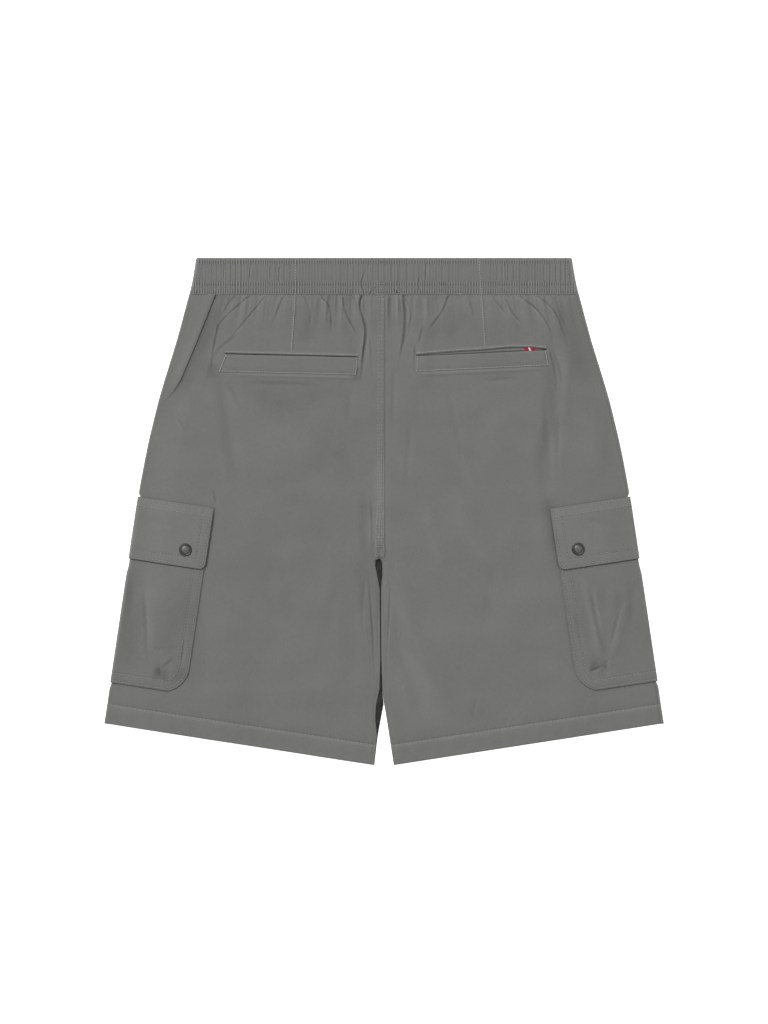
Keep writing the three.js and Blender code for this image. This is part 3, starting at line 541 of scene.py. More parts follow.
def band_height(x, down):
    """Upper face of the band's back: ribs all over, puckers at the rows of stitching."""
    rows = sum(np.exp(-np.abs((down - row) / reach) ** 3) for row, reach in BAND_PUCKERS)
    swell = 0.3 * np.cos(x / 60.0) + 0.4 * bell(down - 15.5, 9.0)
    calm = 1 - 0.55 * rows
    pulls = crease_height(BAND_CREASES, x, down)
    return 2 * BAND_RISE + swell + 0.15 * calm * ribs(x) + 0.4 * rows * puckers(x) + pulls - band_edge(down)


def welt_place(side, x, down):
    """How far across a welt from its inner end, its width, and how far below its edges."""
    (top_in, top_out), (low_in, low_out) = WELTS[side]["top"], WELTS[side]["low"]
    wide = abs(top_out[0] - top_in[0])
    across = (side * x - abs(top_in[0])) / wide
    from_top = down - mix(top_in[1], top_out[1], across)
    from_low = down - mix(low_in[1], low_out[1], across)
    return across * wide, wide, from_top, from_low


def mouth_wide(side, share):
    """Width of a pocket's mouth: the left one is nearly shut, the right one gapes most near its
    outer end."""
    return np.interp(share, *np.transpose(WELTS[side]["mouth"]))


def welt_hollow(side, x, down):
    """The panel dips only right under the welt, opens in the pocket's mouth above it, deepest in a
    groove along the welt, and swells a little below the welt's lower edge."""
    across, wide, from_top, from_low = welt_place(side, x, down)
    within = ease((across - 0.4) / 1.2) * ease((wide - across - 0.4) / 1.2)
    bed = ease((from_top + 0.5) / 1.0) * ease((-from_low - 0.4) / 1.2)
    mouth_ends = ease((across + 1.0) / 2.0) * ease((wide - across + 1.0) / 2.0)
    from_lip = from_top + mouth_wide(side, across / wide)
    open_depth = WELTS[side]["sink"] * mix(1.0, 1.8, np.clip(across / wide, 0, 1))
    opening = open_depth * ease((from_lip + 0.3) / 0.7) * (1 - ease((from_top + 0.2) / 0.8))
    groove = 0.9 * bell(from_top + 0.3, 0.5)
    under_lip = 0.35 * bell(from_lip - 0.5, 0.5)
    lip = 0.4 * bell(from_lip + 1.9, 1.5)
    swelling = 0.5 * bell(from_low - 2.2, 1.6) * ease(across / 14.0) * ease((wide - across) / 22.0)
    return mouth_ends * (lip - opening - groove - under_lip) - WELT_BED * within * bed + swelling


def seam_height(x, down):
    """Felled centre-back seam: a strip of raised cloth with a sharp valley on its right, low ripples
    and two sunk rows of stitching. It widens and swells unevenly where it ends at the crotch."""
    end = ease((down - 235.0) / 50.0)
    left = SEAM_STRIP[0] - SEAM_END_WIDER * end
    strip = ease((x - left) / SEAM_SLOPE) * (1 - ease((x - SEAM_STRIP[1]) / 0.6))
    ripple = 0.10 * np.cos(2 * math.pi * down / 4.3 + 1.5 * np.sin(down / 17.0))
    lumps = end * (0.55 + 0.2 * np.sin(down / 3.1 + x / 2.7) + 0.15 * np.sin(down / 1.9 - x))
    rows = sum(0.14 * bell(x - row, 0.7) for row in SEAM_ROWS)
    fade = 1 - ease((down - SEAM_END) / 4.0)
    return fade * (strip * (SEAM_RAISE + ripple + lumps) - rows - 0.4 * bell(x - SEAM_VALLEY, 0.6))


def soft_waves(x, down):
    """Uneven swells of cloth laid by hand: a sum of sine waves, each with its own direction, length
    and start, and faint crinkles where a slower sum of waves crosses zero."""
    swell = np.zeros(x.shape)
    field = np.zeros(x.shape)
    patchy = np.zeros(x.shape)
    for turn, length, start in WAVES:
        wave = np.sin((x * math.cos(turn) + down * math.sin(turn)) * 2 * math.pi / length + start)
        swell += WAVE_STEEPNESS * length * wave
    for turn, length, start in CRINKLES:
        field += np.sin((x * math.cos(turn) + down * math.sin(turn)) * 2 * math.pi / length + start)
        patchy += np.sin((x * math.sin(turn) - down * math.cos(turn)) * math.pi / length + 2 * start)
    crinkle = (1 - np.clip(np.abs(field) / 1.6, 0, 1)) ** 2 * ease(patchy / 2.5)
    return swell + 0.05 * crinkle


def fold_height(x, down):
    """Broad soft folds of the legs and patches: a bell curve across each path, hollow or raised, that
    rises and falls along it."""
    height = np.zeros(x.shape)
    for path, wide, high in FOLDS:
        signed, share = near_path(curve_through(path, 6), x, down)
        height += high * bell(signed, wide) * ease(share / 0.3) * ease((1 - share) / 0.3)
    return height


def painted_fold_shade(x, down):
    """Painted shade and painted light of the broad folds: a bell curve across each path, darker or
    paler, fading at its ends.
    """
    tone = np.zeros(x.shape)
    for path, wide, strong in PAINTED_FOLD_SHADES:
        signed, share = near_path(curve_through(path, 6), x, down)
        tone += strong * bell(signed, wide) * ease(share / 0.2) * ease((1 - share) / 0.2)
    return tone


def dart_height(side, x, down):
    """Narrow ridge of the dart's seam, from the waist edge to the pocket's mouth."""
    signed, share = near_path(np.array(DARTS[side], float), x, down)
    return (0.32 * bell(signed, 1.1) - 0.2 * bell(signed - 1.9, 1.0)) * (1 - ease((share - 0.97) / 0.03))


def hem_height(x, down):
    """The hem's row of stitching sinks in, with low puckers along the turned-up part."""
    up = hem_down(x) - down
    row = -0.22 * bell(up - HEM_DEPTH, 1.0)
    wave = 0.12 * np.cos(2 * math.pi * x / 17.0 + 1.5 * np.sin(x / 23.0)) * bell(up - 10.0, 9.0)
    draw = 0.10 * np.cos(2 * math.pi * x / 4.6 + 1.2 * np.sin(x / 15.0)) * bell(up - HEM_DEPTH, 3.0)
    return row + wave + draw


def hip_fade(down):
    """1 down to where the left hip's step ends, easing to 0."""
    return 1 - ease((down - HIP_END) / HIP_SOFT)


def hip_step(side, x, down, wall):
    """On the left hip the front's folded edge stands over the back, which dips beside it."""
    if side > 0:
        return 0.0
    wrap = np.interp(down, WRAP_DOWN, WRAP[side])
    away = nose_centre(side, down, wall) - wrap - np.abs(x)
    dip = 1.2 * bell(away, 3.2) + 0.3 * bell(away - 5.0, 15.0)
    return -dip * hip_fade(down)


def back_height(side, x, down):
    """Upper face of the back panel: the layers under it, its fullness, folds, creases, gathers and
    seams."""
    wall = panel_wall(x, down)
    centre = nose_centre(side, down, wall)
    from_side = centre - np.abs(x)
    from_inner = side * x - calm_edge(side, down)
    side_share = ease(from_side / 34.0)
    below_crotch = ease((down - LEGS_FROM) / LEGS_SOFT)
    leg_share = mix(1.0, ease((from_inner + 2.0) / 26.0), below_crotch)
    room = np.interp(down, FULLNESS[:, 0], FULLNESS[:, 1]) * leg_share
    shape = gathers(x, down) + soft_waves(x, down) + fold_height(x, down)
    shape = shape * mix(1.0, leg_share, 0.5) + dart_height(side, x, down)
    full = room + (shape + welt_hollow(side, x, down)) * ease(from_side / 10.0)
    space = np.maximum(edge_space(down) + full * side_share, LEAST_SPACE)
    rolled = 0.9 * below_crotch * bell(from_inner, 3.0)
    lift = panel_lift(side, x, down, LIFT_WIDER)
    height = lift + 2 * wall + space + seam_height(x, down) + hem_height(x, down) - rolled
    height = height + hip_step(side, x, down, wall)
    creases = CREASE_GAIN * crease_height(CREASES, x, down) * ease(from_side / 8.0)
    tucked = 0.2 * (1 - ease((down - BAND_DEPTH) / 1.6))
    leaving = ease((down - BAND_DEPTH) / 6.0)
    height = mix(band_height(x, down), height, leaving) + creases * ease((down - BAND_DEPTH) / 3.0)
    return np.maximum(height, lift + 2 * wall + LEAST_LOFT) - tucked


def patch_height(side, x, down):
    """Upper face of the pocket patch: the panel under it, a fullness highest near its middle, its
    sewn edges pressed down, and its own creases."""
    inwards, along = side_place(x, down)
    wide, deep = POCKETS[side]["wide"], POCKETS[side]["deep"]
    across = np.clip(inwards / wide, 0, 1)
    length = np.clip(along / deep, 0, 1)
    full = np.sin(math.pi * ease(across)) * np.sin(math.pi * length) ** 0.7
    below_flap = ease((along - FLAP_DEEP + 4.0) / 6.0)
    from_edge = corner_distance(wide - inwards, deep - along, PATCH_CORNER)
    creases = crease_height(PATCH_CREASES[side], x, down) * below_flap * ease(inwards / 6.0)
    pressed = PATCH_PRESSED * (1 - ease(from_edge / 9.0)) * ease(inwards / 10.0)
    return (back_height(side, x, down) + POCKET_LAYER - pressed + PATCH_FULLNESS * full
            + creases * ease((from_edge - 3.0) / 8.0))


def corner_distance(from_side, from_end, corner):
    """Distance inwards of two straight edges that a quarter circle joins."""
    into_side, into_end = np.maximum(corner - from_side, 0), np.maximum(corner - from_end, 0)
    return np.where((into_side > 0) & (into_end > 0), corner - np.hypot(into_side, into_end),
                    np.minimum(from_side, from_end))


def flap_height(side, x, down):
    """Upper face of the flap: on the panel at its top edge, then over the patch, its stiff free edges
    standing off a little."""
    inwards, along = side_place(x, down)
    from_edge = corner_distance(POCKETS[side]["wide"] - inwards, FLAP_DEEP - along, FLAP_CORNER)
    standing = FLAP_STANDING * (1 - ease(from_edge / 9.0)) * ease(along / 14.0) * ease(inwards / 10.0)
    resting = back_height(side, x, down) + POCKET_LAYER - 0.5 * (1 - ease(along / 6.0))
    over = patch_height(side, x, down) + POCKET_LAYER
    creases = crease_height(FLAP_CREASES[side], x, down) * ease(inwards / 6.0)
    return mix(resting, over, ease((along + 2.0) / 12.0)) + creases + standing


def points(x, down, z):
    """Places across, down and up as one array of (X, Y, Z)."""
    return np.stack(np.broadcast_arrays(x, TOP_EDGE - down, z), axis=-1)


def new_piece(name, vertices, faces, finish, smooth=True):
    """Mesh object from points in millimetres, riding on the one body."""
    mesh = bpy.data.meshes.new(name)
    mesh.from_pydata((vertices * MM).tolist(), [], faces)
    mesh.materials.append(finish)
    mesh.polygons.foreach_set("use_smooth", np.full(len(mesh.polygons), smooth))
    mesh.update()
    piece = bpy.data.objects.new(name, mesh)
    bpy.context.scene.collection.objects.link(piece)
    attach(piece, "root")
    return piece


def grid_faces(rows, columns, first=0, ring=False):
    """Four-cornered faces of a grid numbered row by row. A ring joins its last column to its first."""
    ids = first + np.arange(rows * columns).reshape(rows, columns)
    if ring:
        ids = np.hstack([ids, ids[:, :1]])
    return np.stack([ids[:-1, :-1], ids[1:, :-1], ids[1:, 1:], ids[:-1, 1:]], axis=-1).reshape(-1, 4)


def shell(name, outer, inner, finish, ring=False, coarse=4, painted_shading=0.0, darkest=-1.8):
    """Closed wall between two grids of points: the outer grid, every few rows and columns of the
    inner grid turned round, and the edges between them, which meet it sharply. Its faces are turned
    outwards by the sign of its volume. Each point keeps its tone of wear and painted light on ridges
    and of painted shade in creases and hollows, and whether it is inside."""
    rows, columns = outer.shape[:2]
    keep_rows = np.unique(np.r_[0:rows:coarse, rows - 1])
    keep_columns = np.arange(0, columns, coarse)
    if not ring:
        keep_columns = np.unique(np.r_[keep_columns, columns - 1])
    inside = inner[np.ix_(keep_rows, keep_columns)]
    ids = np.arange(rows * columns).reshape(rows, columns)
    inner_ids = rows * columns + np.arange(inside.shape[0] * inside.shape[1]).reshape(inside.shape[:2])
    quads = np.vstack([grid_faces(rows, columns, 0, ring),
                       grid_faces(*inside.shape[:2], rows * columns, ring)[:, ::-1]])
    faces = quads.tolist()
    borders = [(ids[0], inner_ids[0], keep_columns, ring, 1),
               (ids[-1], inner_ids[-1], keep_columns, ring, -1)]
    if not ring:
        borders += [(ids[:, 0], inner_ids[:, 0], keep_rows, False, -1),
                    (ids[:, -1], inner_ids[:, -1], keep_rows, False, 1)]
    for fine, far, kept, closed, turn in borders:
        ends = np.r_[kept, len(fine)] if closed else kept
        fine, far = np.r_[fine, fine[:1]], np.r_[far, far[:1]]
        for i, (a, b) in enumerate(zip(ends[:-1], ends[1:])):
            face = fine[a:b + 1].tolist() + [int(far[i + 1]), int(far[i])]
            faces.append(face[::turn])
    vertices = np.vstack([outer.reshape(-1, 3), inside.reshape(-1, 3)])
    a, b, c, d = (vertices[quads[:, i]] for i in range(4))
    volume = np.einsum("ij,ij->", a, np.cross(b, c)) + np.einsum("ij,ij->", a, np.cross(c, d))
    if volume < 0:
        faces = [face[::-1] for face in faces]
    piece = new_piece(name, vertices, faces, finish)
    piece.data.polygons.foreach_set("use_smooth", np.arange(len(faces)) < len(quads))
    wear_and_shade = np.clip(ridge_wear_and_crease_shade(outer, ring) * (1 if volume > 0 else -1), darkest, 1) + painted_shading
    values = np.zeros(len(vertices))
    values[:rows * columns] = wear_and_shade.ravel()
    piece.data.attributes.new("wear_and_shade", "FLOAT", "POINT").data.foreach_set("value", values)
    within = np.arange(len(vertices)) >= rows * columns
    piece.data.attributes.new("inside", "FLOAT", "POINT").data.foreach_set("value", within.astype(float))
    return piece


def ridge_wear_and_crease_shade(outer, ring):
    """Bend of the surface along its own upright, from each point's neighbours and how far off they
    are: above zero on ridges, paled as wear and painted light, below it in troughs, darkened as
    painted shade, in shares of the bend that tells fully in the tone."""
    reach = WEAR_SHADE_REACH
    sides = "wrap" if ring else "edge"
    padded = np.pad(np.pad(outer, ((reach, reach), (0, 0), (0, 0)), "edge"),
                    ((0, 0), (reach, reach), (0, 0)), sides)
    up, below = padded[:-2 * reach, reach:-reach], padded[2 * reach:, reach:-reach]
    left, right = padded[reach:-reach, :-2 * reach], padded[reach:-reach, 2 * reach:]
    upright = np.cross(below - up, right - left)
    upright /= np.maximum(np.linalg.norm(upright, axis=-1, keepdims=True), 1e-9)
    bend = np.zeros(outer.shape[:2])
    for one, other in ((left, right), (up, below)):
        rise = np.einsum("ijk,ijk->ij", outer - (one + other) / 2, upright)
        far = np.maximum(np.linalg.norm(one - other, axis=-1) / 2, 0.5)
        bend += rise / far**2
    bend[:reach], bend[-reach:] = 0, 0
    if not ring:
        bend[:, :reach], bend[:, -reach:] = 0, 0
    return bend / WEAR_SHADE_BEND


def neighbours(heights, reach, join):
    """The mean or the lowest of each square of neighbours, taken along rows and then columns."""
    for axis in (0, 1):
        pads = [(reach, reach) if a == axis else (0, 0) for a in (0, 1)]
        padded = np.pad(heights, pads, "edge")
        places = [np.arange(heights.shape[axis]) + k for k in range(2 * reach + 1)]
        heights = join([padded.take(place, axis) for place in places], axis=0)
    return heights


def painted_hollow_shade(heights):
    """How far each point is above or below the mean of what is round it: painted light on swells,
    painted shade in hollows.
    """
    return np.clip(HOLLOW_TONE * (heights - neighbours(heights, HOLLOW_REACH, np.mean)), -1, 1)


def steps(*spans):
    """Places from spans of (start, end, step), without repeats."""
    runs = [np.linspace(a, b, max(1, round((b - a) / s)), endpoint=False) for a, b, s in spans]
    return np.concatenate(runs + [[spans[-1][1]]])


def panel_depth(inner_down):
    """Share of the way from the band to the hem."""
    return (inner_down - BAND_DEPTH) / (LENGTH - BAND_DEPTH)


def back_panel(side, name, finish):
    """Back panel: rows run from the band to the hem and turn to the hem's slope on the way, columns
    run from the centre seam to the side seam, closer together at the centre seam."""
    inner_down = steps((BAND_DEPTH, 84, 0.95), (84, 124, 0.55), (124, 296, 1.8), (296, 340, 1.3),
                       (340, 484, 2.0), (484, LENGTH, 0.9))
    share = np.concatenate([np.linspace(0, 0.04, 20)[:-1], np.linspace(0.04, 1, 224)])
    down = mix(BAND_DEPTH, mix(LENGTH, SIDE_LENGTH, share), panel_depth(inner_down)[:, None])
    inner = inner_edge("back", side, down)
    wall = panel_wall(mix(HEM_IN, HEM_OUT, share) * np.ones_like(down), down)
    outer = nose_centre(side, down, wall) - np.interp(down, WRAP_DOWN, WRAP[side]) - 0.02
    x = side * mix(inner, outer, share)
    wall = panel_wall(x, down)
    edge = 0.45 * bell(side * x - inner_edge("back", side, down), 0.7) * ease((down - 300.0) / 4.0)
    edge = edge + 0.5 * bell(hem_down(x) - down, 0.9)
    top = back_height(side, x, down) - edge
    low = neighbours(top, 4, np.min) - wall
    return shell(name, points(x, down, top), points(x, down, low), finish,
                 painted_shading=painted_hollow_shade(top) + PAINTED_SHADE_GAIN * painted_fold_shade(x, down))


def front_panel(side, name, finish):
    """Front panel: on the table, round the side fold and onto the back as far as the seam."""
    inner_down = steps((BAND_DEPTH, 150, 1.0), (150, 484, 3.0), (484, LENGTH, 1.2))
    share = np.linspace(0, 1, 60)
    depth = panel_depth(inner_down)[:, None]
    down = mix(BAND_DEPTH, mix(LENGTH, SIDE_LENGTH, share), depth)
    inner = inner_edge("front", side, down)
    wall = panel_wall(mix(HEM_IN, HEM_OUT, share) * np.ones_like(down), down)
    x = side * mix(inner, nose_centre(side, down, wall), share)
    wall = panel_wall(x, down)
    up = hem_down(x) - down
    groove = 0.3 * bell(up - HEM_DEPTH, 1.0) + 0.5 * bell(up, 0.9)
    gathered = ribs(x * 0.8) * np.exp(-(down - BAND_DEPTH) / 16.0)
    creased = -0.35 * crease_height(CREASES, -x, down) - 0.3 * gathered
    calm = ease((nose_centre(side, down, wall) - np.abs(x)) / 12.0)
    low = panel_lift(side, x, down) + np.clip(creased, 0, 0.7) * calm
    under_outer, under_inner = points(x, down, low + groove), points(x, down, low + wall)

    down = mix(BAND_DEPTH, SIDE_LENGTH, depth)
    wall = panel_wall(HEM_OUT * np.ones_like(down), down)
    centre = nose_centre(side, down, wall)
    low = panel_lift(side, side * centre, down)
    high = back_height(side, side * centre, down)
    turn = np.radians(np.linspace(-90, 90, 12)[1:])[None, :]
    middle, rise, radius = (low + high) / 2, (high - low) / 2, nose_radius(wall)
    nose_outer = points(side * (centre + radius * np.cos(turn)), down, middle + rise * np.sin(turn))
    nose_inner = points(side * (centre + (radius - wall) * np.cos(turn)), down,
                        middle + (rise - wall) * np.sin(turn))

    wrap = np.interp(down, WRAP_DOWN, WRAP[side])
    x = side * (centre - wrap * np.linspace(0, 1, 24)[None, 1:])
    down = down * np.ones_like(x)
    from_edge = wrap - (centre - np.abs(x))
    folded = 1.3 * bell(from_edge, 6.0) - 0.45 * bell(from_edge, 0.8)
    top = back_height(side, x, down) + (folded * hip_fade(down) if side < 0 else 0.0)
    strip_outer, strip_inner = points(x, down, top), points(x, down, top - wall)
    outer = np.concatenate([under_outer, nose_outer, strip_outer], axis=1)
    inner = np.concatenate([under_inner, nose_inner, strip_inner], axis=1)
    return shell(name, outer, inner, finish)


def waistband(name, finish):
    """Ring of the waistband: ribbed and puckered back, round folds at the sides, flat underside."""
    down = steps((0, 2, 0.4), (2, BAND_DEPTH + 1.0, 0.95))[:, None]
    centre = half_outline(down) - BAND_RISE
    share = np.linspace(-1, 1, 902)[None, 1:-1]
    x = share * centre
    top_outer = points(x, down, band_height(x, down * np.ones_like(x)))
    top_inner = points(x, down, BAND_RISE + BAND_SPACE / 2)
    edge = band_edge(down)

    def nose(start, side):
        """Half turn of the side fold, from an angle in degrees, and the elastic's space inside it."""
        turn = np.radians(start - np.linspace(0, 180, 14))[None, :]
        high = band_height(side * centre, down) / 2
        up = np.where(np.sin(turn) > 0, high, high - edge)
        wide = BAND_RISE - edge
        outer = points(side * centre + wide * np.cos(turn), down, high + up * np.sin(turn))
        gap = BAND_SPACE / 2
        return outer, points(side * centre + gap * np.cos(turn), down, BAND_RISE + gap * np.sin(turn))

    left, right = nose(270, -1), nose(90, 1)
    x = np.linspace(1, -1, 90)[None, 1:-1] * centre
    groove = sum(0.3 * bell(down - row, 1.2) for row in BAND_STITCH_ROWS)
    low_outer, low_inner = points(x, down, edge + groove), points(x, down, BAND_WALL)
    outer = np.concatenate([left[0], top_outer, right[0], low_outer], axis=1)
    inner = np.concatenate([left[1], top_inner, right[1], low_inner], axis=1)
    # Painted shade along the band's rolled upper edge
    rim = -0.8 * (1 - ease(down / 1.6)) * np.ones(outer.shape[:2])
    return shell(name, outer, inner, finish, ring=True, painted_shading=rim, darkest=-1.2)


def rounded_reach(wide, deep, corner, along):
    """Half width of a pocket layer whose lower corners are quarter circles."""
    into = np.maximum(0.0, along - (deep - corner))
    return wide - corner + np.sqrt(np.maximum(0.0, corner**2 - into**2))


def stitched_in(from_edge, deep):
    """Grooves along the rows of stitching inside a pocket layer's edges: bell curves."""
    return sum(deep * bell(from_edge - row, 0.9) for row in POCKET_ROWS)


def wrapped_layer(name, side, along, reach, low, high, proud, radius, finish, fold_shade_gain=0.0):
    """Pocket layer from its edge under the leg, round the side fold, to its edge on the back."""
    along = along[:, None]
    centre = radius - proud
    share = 1 - np.concatenate([np.linspace(0, 12, 15)[:-1] / 75, np.linspace(12 / 75, 1, 48)])
    inwards = mix(centre, reach, share)
    x, down = side_point(side, inwards, along)
    from_edge = np.minimum(reach - inwards, along.max() - along)
    low = low * np.ones_like(x)
    under_outer = points(x, down, low + stitched_in(from_edge, 0.3) + 0.3 * bell(from_edge, 0.8))
    under_inner = points(x, down, low + POCKET_CLOTH)

    edge_x, edge_down = side_point(side, centre * np.ones_like(along), along)
    top = high(side, edge_x, edge_down)
    middle, rise = (top + low[:, :1]) / 2, (top - low[:, :1]) / 2
    turn = np.radians(np.linspace(-90, 90, 14)[1:-1])[None, :]
    ox, od = side_point(side, centre - radius * np.cos(turn), along)
    ix, idown = side_point(side, centre - (radius - POCKET_CLOTH) * np.cos(turn), along)
    nose_outer = points(ox, od, middle + rise * np.sin(turn))
    nose_inner = points(ix, idown, middle + (rise - POCKET_CLOTH) * np.sin(turn))

    inwards = mix(centre, reach, share[::-1])
    x, down = side_point(side, inwards, along)
    from_edge = np.minimum(reach - inwards, along.max() - along)
    top = high(side, x, down)
    painted_shading = painted_hollow_shade(top) + fold_shade_gain * painted_fold_shade(x, down)
    top_outer = points(x, down, top - stitched_in(from_edge, 0.32) - 0.2 * bell(from_edge, 0.6))
    top_inner = points(x, down, neighbours(top, 2, np.min) - POCKET_CLOTH)
    outer = np.concatenate([under_outer, nose_outer, top_outer], axis=1)
    inner = np.concatenate([under_inner, nose_inner, top_inner], axis=1)
    plain = np.zeros((len(along), outer.shape[1] - painted_shading.shape[1]))
    return shell(name, outer, inner, finish, coarse=2,
                 painted_shading=np.concatenate([plain, painted_shading], axis=1))


def cargo_pocket(side, name, finish):
    """Patch pocket, closer to the panel below the flap than under it."""
    deep = POCKETS[side]["deep"]
    along = steps((PATCH_START, deep - 30, 1.4), (deep - 30, deep - 0.8, 0.9))
    reach = rounded_reach(POCKETS[side]["wide"], deep + 0.6, PATCH_CORNER, along)[:, None]
    under = 1 - ease((along - FLAP_DEEP - 4.0) / 14.0)[:, None]
    proud = mix(PATCH_PROUD, FLAP_PROUD - POCKET_LAYER, under)
    radius = nose_radius(CLOTH) + POCKET_LAYER
    low = patch_lift(along)[:, None]
    return wrapped_layer(name, side, along, reach, low, patch_height, proud, radius, finish, PAINTED_SHADE_GAIN)


def cargo_flap(side, name, finish):
    """Flap over the patch pocket, a little wider than it."""
    along = steps((0, 14, 0.9), (14, FLAP_DEEP - 12, 1.4), (FLAP_DEEP - 12, FLAP_DEEP, 0.8))
    reach = rounded_reach(POCKETS[side]["wide"] + FLAP_WIDER, FLAP_DEEP + 0.3, FLAP_CORNER, along)[:, None]
    radius = nose_radius(CLOTH) + 2 * POCKET_LAYER
    return wrapped_layer(name, side, along, reach, 0.0, flap_height, FLAP_PROUD, radius, finish)


def welt_top(side, x, down):
    """Upper face of a welt: flush with the panel at its ends and lower edge, raised towards the
    mouth, with a folded upper edge."""
    across, wide, from_top, from_low = welt_place(side, x, down)
    calm = back_height(side, x, down) - welt_hollow(side, x, down)
    inside = ease(across / 5.0) * ease((wide - across) / 5.0)
    raised = 0.12 + 0.55 * inside * ease(-from_low / 7.0)
    edge = 0.35 * bell(from_top, 0.7) * inside
    rows = 0.06 * bell(from_low + 1.8, 0.8)
    return calm + raised - edge - rows


def welt(side, name, finish):
    """Welt: a four-cornered strip, its height given by welt_top, with its cloth under it."""
    (top_in, top_out), (low_in, low_out) = (np.array(WELTS[side][key]) for key in ("top", "low"))
    across = np.linspace(0, 1, 149)[None, :, None]
    below = np.linspace(0, 1, 21)[:, None, None]
    place = mix(mix(top_in, top_out, across), mix(low_in, low_out, across), below)
    x, down = place[..., 0], place[..., 1]
    top = welt_top(side, x, down)
    return shell(name, points(x, down, top), points(x, down, top - WELT_CLOTH), finish)


def tab(name, finish):
    """Small folded tape that stands out of the right pocket's mouth."""
    across = np.linspace(-0.5, 0.5, 20)[None, :]
    below = np.linspace(0, 1, 8)[:, None]
    x = TAB_AT[0] + TAB_WIDE * across + 0 * below
    down = TAB_AT[1] - TAB_TILT * TAB_WIDE * across + TAB_DEEP * below
    lip = back_height(1, x, TAB_AT[1] - 5.5 + 0 * x)
    top = lip - 1.0 + 0.25 * np.sin(math.pi * (across + 0.5)) - 0.9 * below - 0.3 * bell(below, 0.15)
    return shell(name, points(x, down, top), points(x, down, top - TAB_CLOTH), finish)


SNAP_PROFILE = (
    # radius, height above the flap
    (6.2, -0.4), (6.4, 0.2), (6.3, 0.7), (5.9, 1.05), (5.3, 1.1), (4.9, 0.85), (4.6, 0.6),
    (4.3, 0.8), (3.8, 1.15), (3.0, 1.4), (2.0, 1.55), (1.0, 1.6), (0.12, 1.62),
)
SNAP_DOME = 4.4
SNAP_SIDES = 64
SNAP_REACH = 6.0


def snap(side, name, finish):
    """Cap of a snap: a profile turned about the flap's upright, closed at the middle. Its dome is
    marked for the painted highlight on it."""
    x0, down0 = SNAPS[side]
    round_about = np.array([(0, 0), (1, 0), (-1, 0), (0, 1), (0, -1)]) * SNAP_REACH
    heights = flap_height(side, x0 + round_about[:, 0], down0 + round_about[:, 1])
    slope_x, slope_down = (heights[[1, 3]] - heights[[2, 4]]) / (2 * SNAP_REACH)
    profile = np.array(SNAP_PROFILE)
    turn = np.linspace(0, 2 * math.pi, SNAP_SIDES, endpoint=False)[None, :]
    radius, high = profile[:, :1], profile[:, 1:]
    dx, dy = radius * np.cos(turn), radius * np.sin(turn)
    z = heights[0] + slope_x * dx - slope_down * dy + high
    rings = np.stack([x0 + dx, TOP_EDGE - down0 + dy, z], axis=-1)
    faces = grid_faces(len(profile), SNAP_SIDES, 0, True).tolist()
    faces.append(list(range((len(profile) - 1) * SNAP_SIDES, len(profile) * SNAP_SIDES)))
    faces.append(list(range(SNAP_SIDES - 1, -1, -1)))
    piece = new_piece(name, rings.reshape(-1, 3), [f[::-1] for f in faces], finish)
    dome = ease((SNAP_DOME - np.repeat(profile[:, 0], SNAP_SIDES)) / 1.2)
    piece.data.attributes.new("dome", "FLOAT", "POINT").data.foreach_set("value", dome)
    return piece


THREAD_SIDES = 5
STITCH_SHAPE = (
    # share of its length, share of its thickness, height in thicknesses
    (0.0, 0.45, -0.8), (0.2, 0.95, 0.15), (0.8, 0.95, 0.15), (1.0, 0.45, -0.8),
)


def stitch_run(path, length, gap):
    """Starts and ends of stitches laid end to end along a path of points."""
    lengths = np.concatenate([[0], np.cumsum(np.linalg.norm(np.diff(path, axis=0), axis=1))])
    count = max(1, int(lengths[-1] / (length + gap)))
    starts = np.linspace(0, lengths[-1] - length, count)

    def at(place):
        """Point at a distance along the path."""
        return np.stack([np.interp(place, lengths, path[:, i]) for i in range(3)], axis=-1)

    return at(starts), at(starts + length)


def stitching(name, runs, finish, thick=0.42):
    """All stitches of some seams in one mesh. Each is a five-sided thread, sunk at its ends."""
    starts = np.vstack([run[0] for run in runs])
    ends = np.vstack([run[1] for run in runs])
    ahead = ends - starts
    ahead /= np.linalg.norm(ahead, axis=1, keepdims=True)
    across = np.cross(ahead, (0.0, 0.0, 1.0))
    across /= np.linalg.norm(across, axis=1, keepdims=True)
    lift = np.cross(across, ahead)
    shape = np.array(STITCH_SHAPE)
    turn = np.linspace(0, 2 * math.pi, THREAD_SIDES, endpoint=False)
    centre = starts[:, None] + (ends - starts)[:, None] * shape[None, :, :1]
    centre = centre + lift[:, None] * (shape[None, :, 2:] * thick)
    radius = (shape[:, 1] * thick)[None, :, None, None]
    ring = (across[:, None, None] * np.cos(turn)[:, None] + lift[:, None, None] * np.sin(turn)[:, None])
    vertices = (centre[:, :, None] + radius * ring).reshape(-1, 3)
    one = grid_faces(len(shape), THREAD_SIDES, 0, True)
    corners = np.arange(len(shape) * THREAD_SIDES)
    first = (np.arange(len(starts)) * len(corners))[:, None, None]
    sides = (one[None] + first).reshape(-1, 4).tolist()
    caps = np.array([corners[:THREAD_SIDES][::-1], corners[-THREAD_SIDES:]])
    caps = (caps[None] + first).reshape(-1, THREAD_SIDES).tolist()
    return new_piece(name, vertices, sides + caps, finish)


# Finishes


class Signal:
    """A socket of a material. Sums, products and the like on it add Math nodes."""

    def __init__(self, finish, socket):
        self.finish = finish
        self.socket = socket

    def math(self, operation, *others):
        values = dict(enumerate((self, *others)))
        return self.finish.add("ShaderNodeMath", {"operation": operation}, values)

    def __add__(self, other):
        return self.math("ADD", other)

    def __mul__(self, other):
        return self.math("MULTIPLY", other)

    def __sub__(self, other):
        return self.math("SUBTRACT", other)

    def __rsub__(self, other):
        return self.math("MULTIPLY", -1.0).math("ADD", other)

    __radd__ = __add__
    __rmul__ = __mul__


